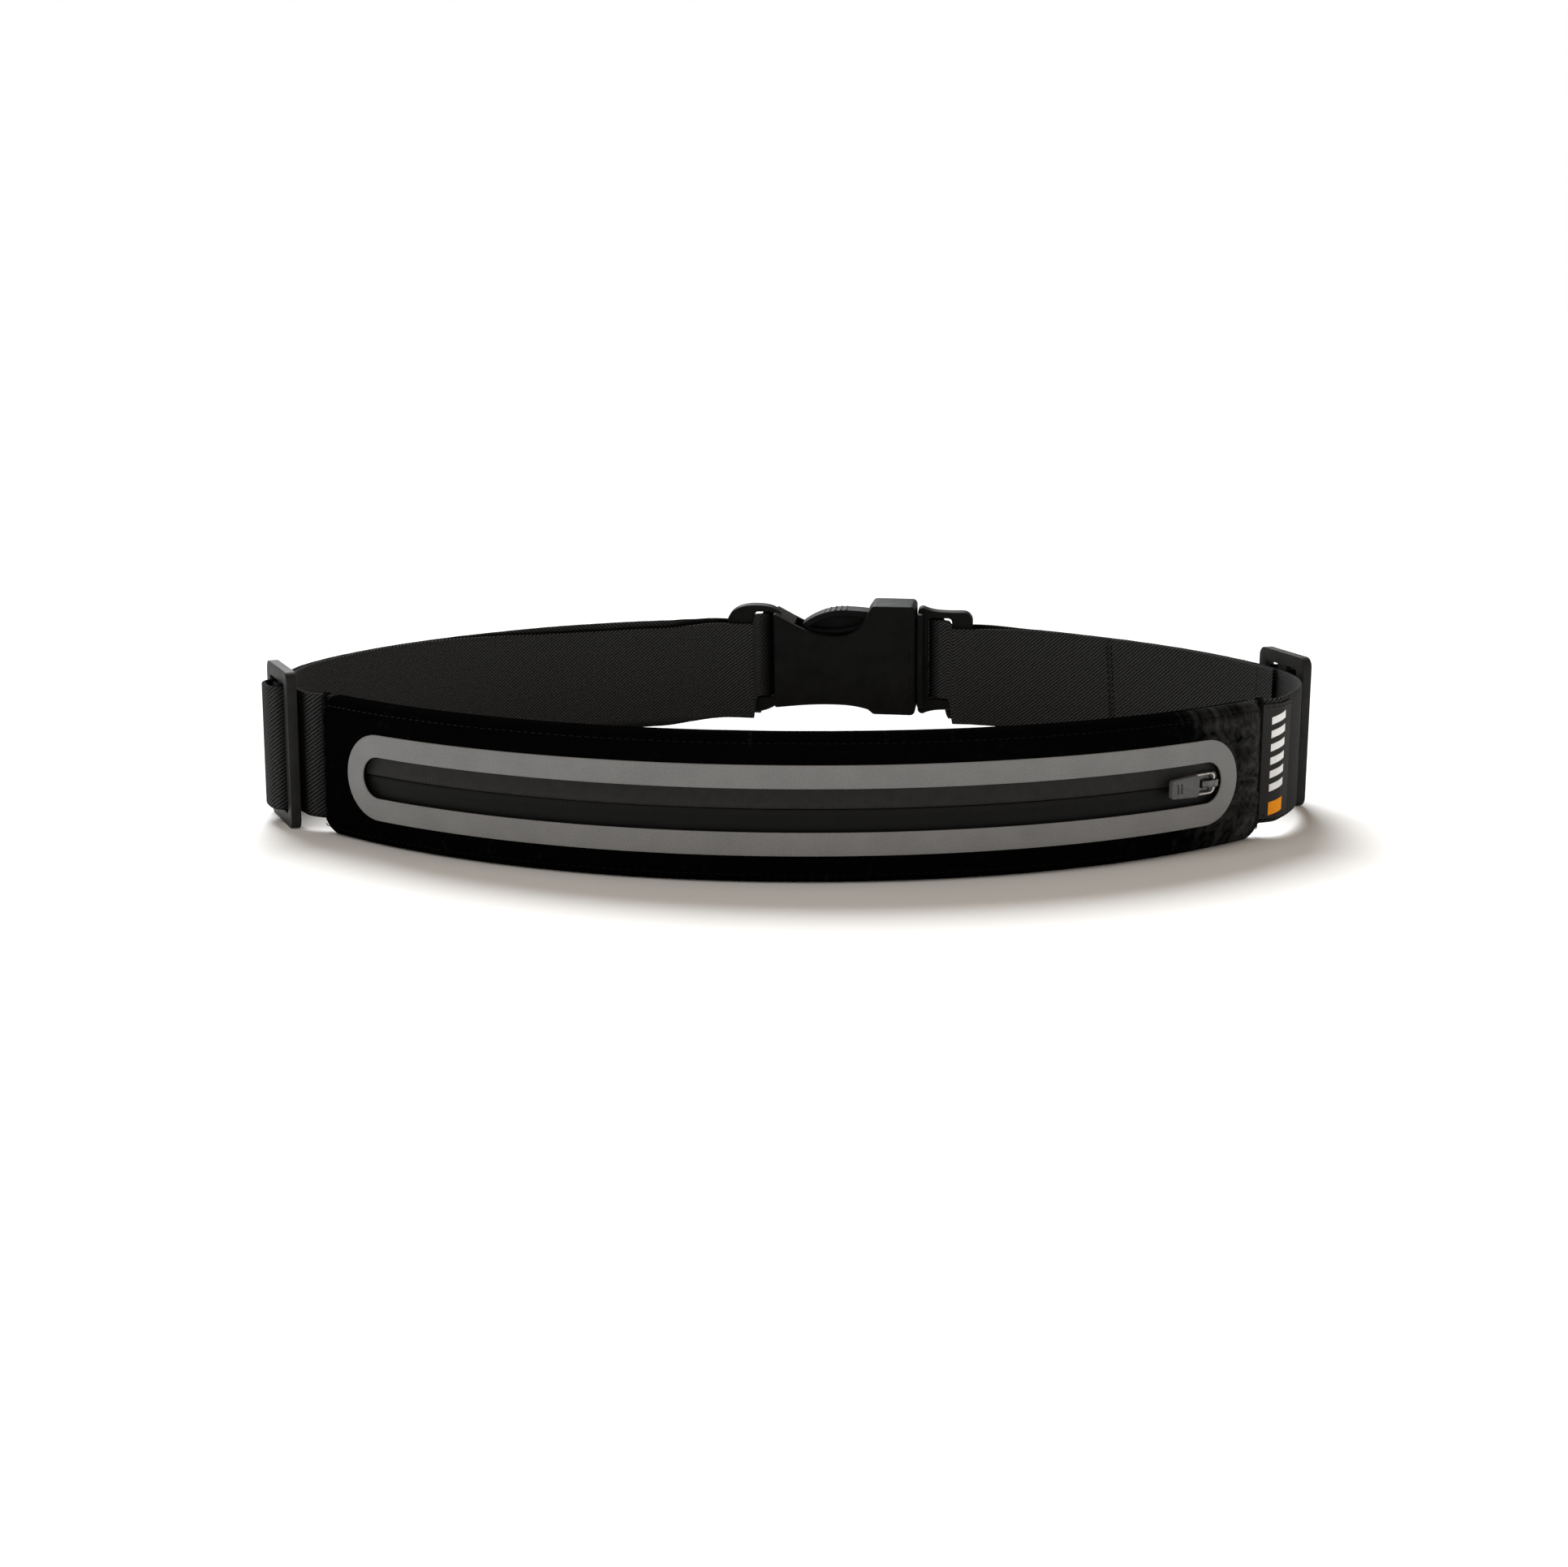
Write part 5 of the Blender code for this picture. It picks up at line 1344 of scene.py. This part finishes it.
def build_world():
    """White round the horizon and a dim warm dome above."""
    world = bpy.data.worlds.new("studio")
    world.use_nodes = True
    nodes, links = world.node_tree.nodes, world.node_tree.links
    split = nodes.new("ShaderNodeSeparateXYZ")
    ramp = nodes.new("ShaderNodeValToRGB")
    ramp.color_ramp.elements[0].position = 0.17
    ramp.color_ramp.elements[0].color = (1.0, 1.0, 1.0, 1.0)
    ramp.color_ramp.elements[1].position = 0.27
    ramp.color_ramp.elements[1].color = (0.27, 0.215, 0.155, 1.0)
    links.new(nodes.new("ShaderNodeTexCoord").outputs["Generated"], split.inputs["Vector"])
    links.new(split.outputs["Z"], ramp.inputs["Fac"])
    links.new(ramp.outputs["Color"], nodes["Background"].inputs["Color"])
    bpy.context.scene.world = world


def build_studio():
    """White floor, a broad soft light behind and above, and weaker ones in front."""
    build_floor()
    build_world()
    bpy.context.scene.view_settings.view_transform = 'Standard'
    cool = (0.95, 0.98, 1.0)
    add_light("back", 'SUN', (-0.28, 1.0, 1.0), 5.0, cool, 34.0)
    add_light("key", 'AREA', (-0.9, -0.9, 1.5), 8.0)
    add_light("fill", 'AREA', (1.2, -0.8, 0.8), 2.5)


def build_camera():
    """Eleven degrees above the horizon, in front of the pouch."""
    elevation = radians(11.0)
    distance = 0.6998
    target = Vector((0.0, 0.0, 0.023))
    data = bpy.data.cameras.new("camera")
    data.sensor_width = 36.0
    data.lens = 49.82
    data.shift_x = -0.0054
    data.shift_y = -0.0369
    camera = add_item("camera", data)
    camera.location = target + Vector((0.0, -cos(elevation), sin(elevation))) * distance
    roll = Matrix.Rotation(radians(0.33), 3, 'Z')
    camera.rotation_euler = (Matrix.Rotation(radians(90.0) - elevation, 3, 'X') @ roll).to_euler()
    bpy.context.scene.camera = camera


def main():
    build_camera()
    build_studio()
    looks = {
        "fabric": stretch_fabric("stretch_fabric", 0.052),
        "back_fabric": stretch_fabric("back_fabric", 0.012),
        "film": reflective_film(),
        # Painted light and shade: the upper tape is given a lighter colour than the lower, though both are
        # the same film.
        "zip_film_upper": zip_film("zip_film_upper", 0.017),
        "zip_film_lower": zip_film("zip_film_lower", 0.0045),
        "nylon": nylon(),
        "metal": zip_metal("zip_metal", 0.3, 0.6),
        "dark_metal": zip_metal("dark_metal", 0.05, 0.14),
        "rubber": pull_rubber(),
        "webbing": webbing(),
        "binding": binding(),
        "label": label_cloth(),
        "dark_thread": thread("dark_thread", grey(0.0015), grey(0.005)),
        "white_thread": thread("white_thread", grey(0.85), grey(0.95)),
        "orange_thread": thread("orange_thread", (0.95, 0.26, 0.015), (1.0, 0.42, 0.03)),
        "glide": moulded("glide_acetal", 0.012, 0.022, 0.5, 0.1),
        "buckle": moulded("buckle_acetal", 0.003, 0.0075, 0.55, 0.07),
    }
    matrix = buckle_matrix()
    build_pouch(looks)
    build_zip(looks)
    build_straps(looks, matrix)
    build_glide(looks, "left", GLIDE_LEFT_ANGLE, -1.0, GLIDE_LEFT_SLACK)
    build_glide(looks, "right", GLIDE_RIGHT_ANGLE, 1.0, 0.0)
    build_label(looks)
    build_buckle(looks, matrix)


main()
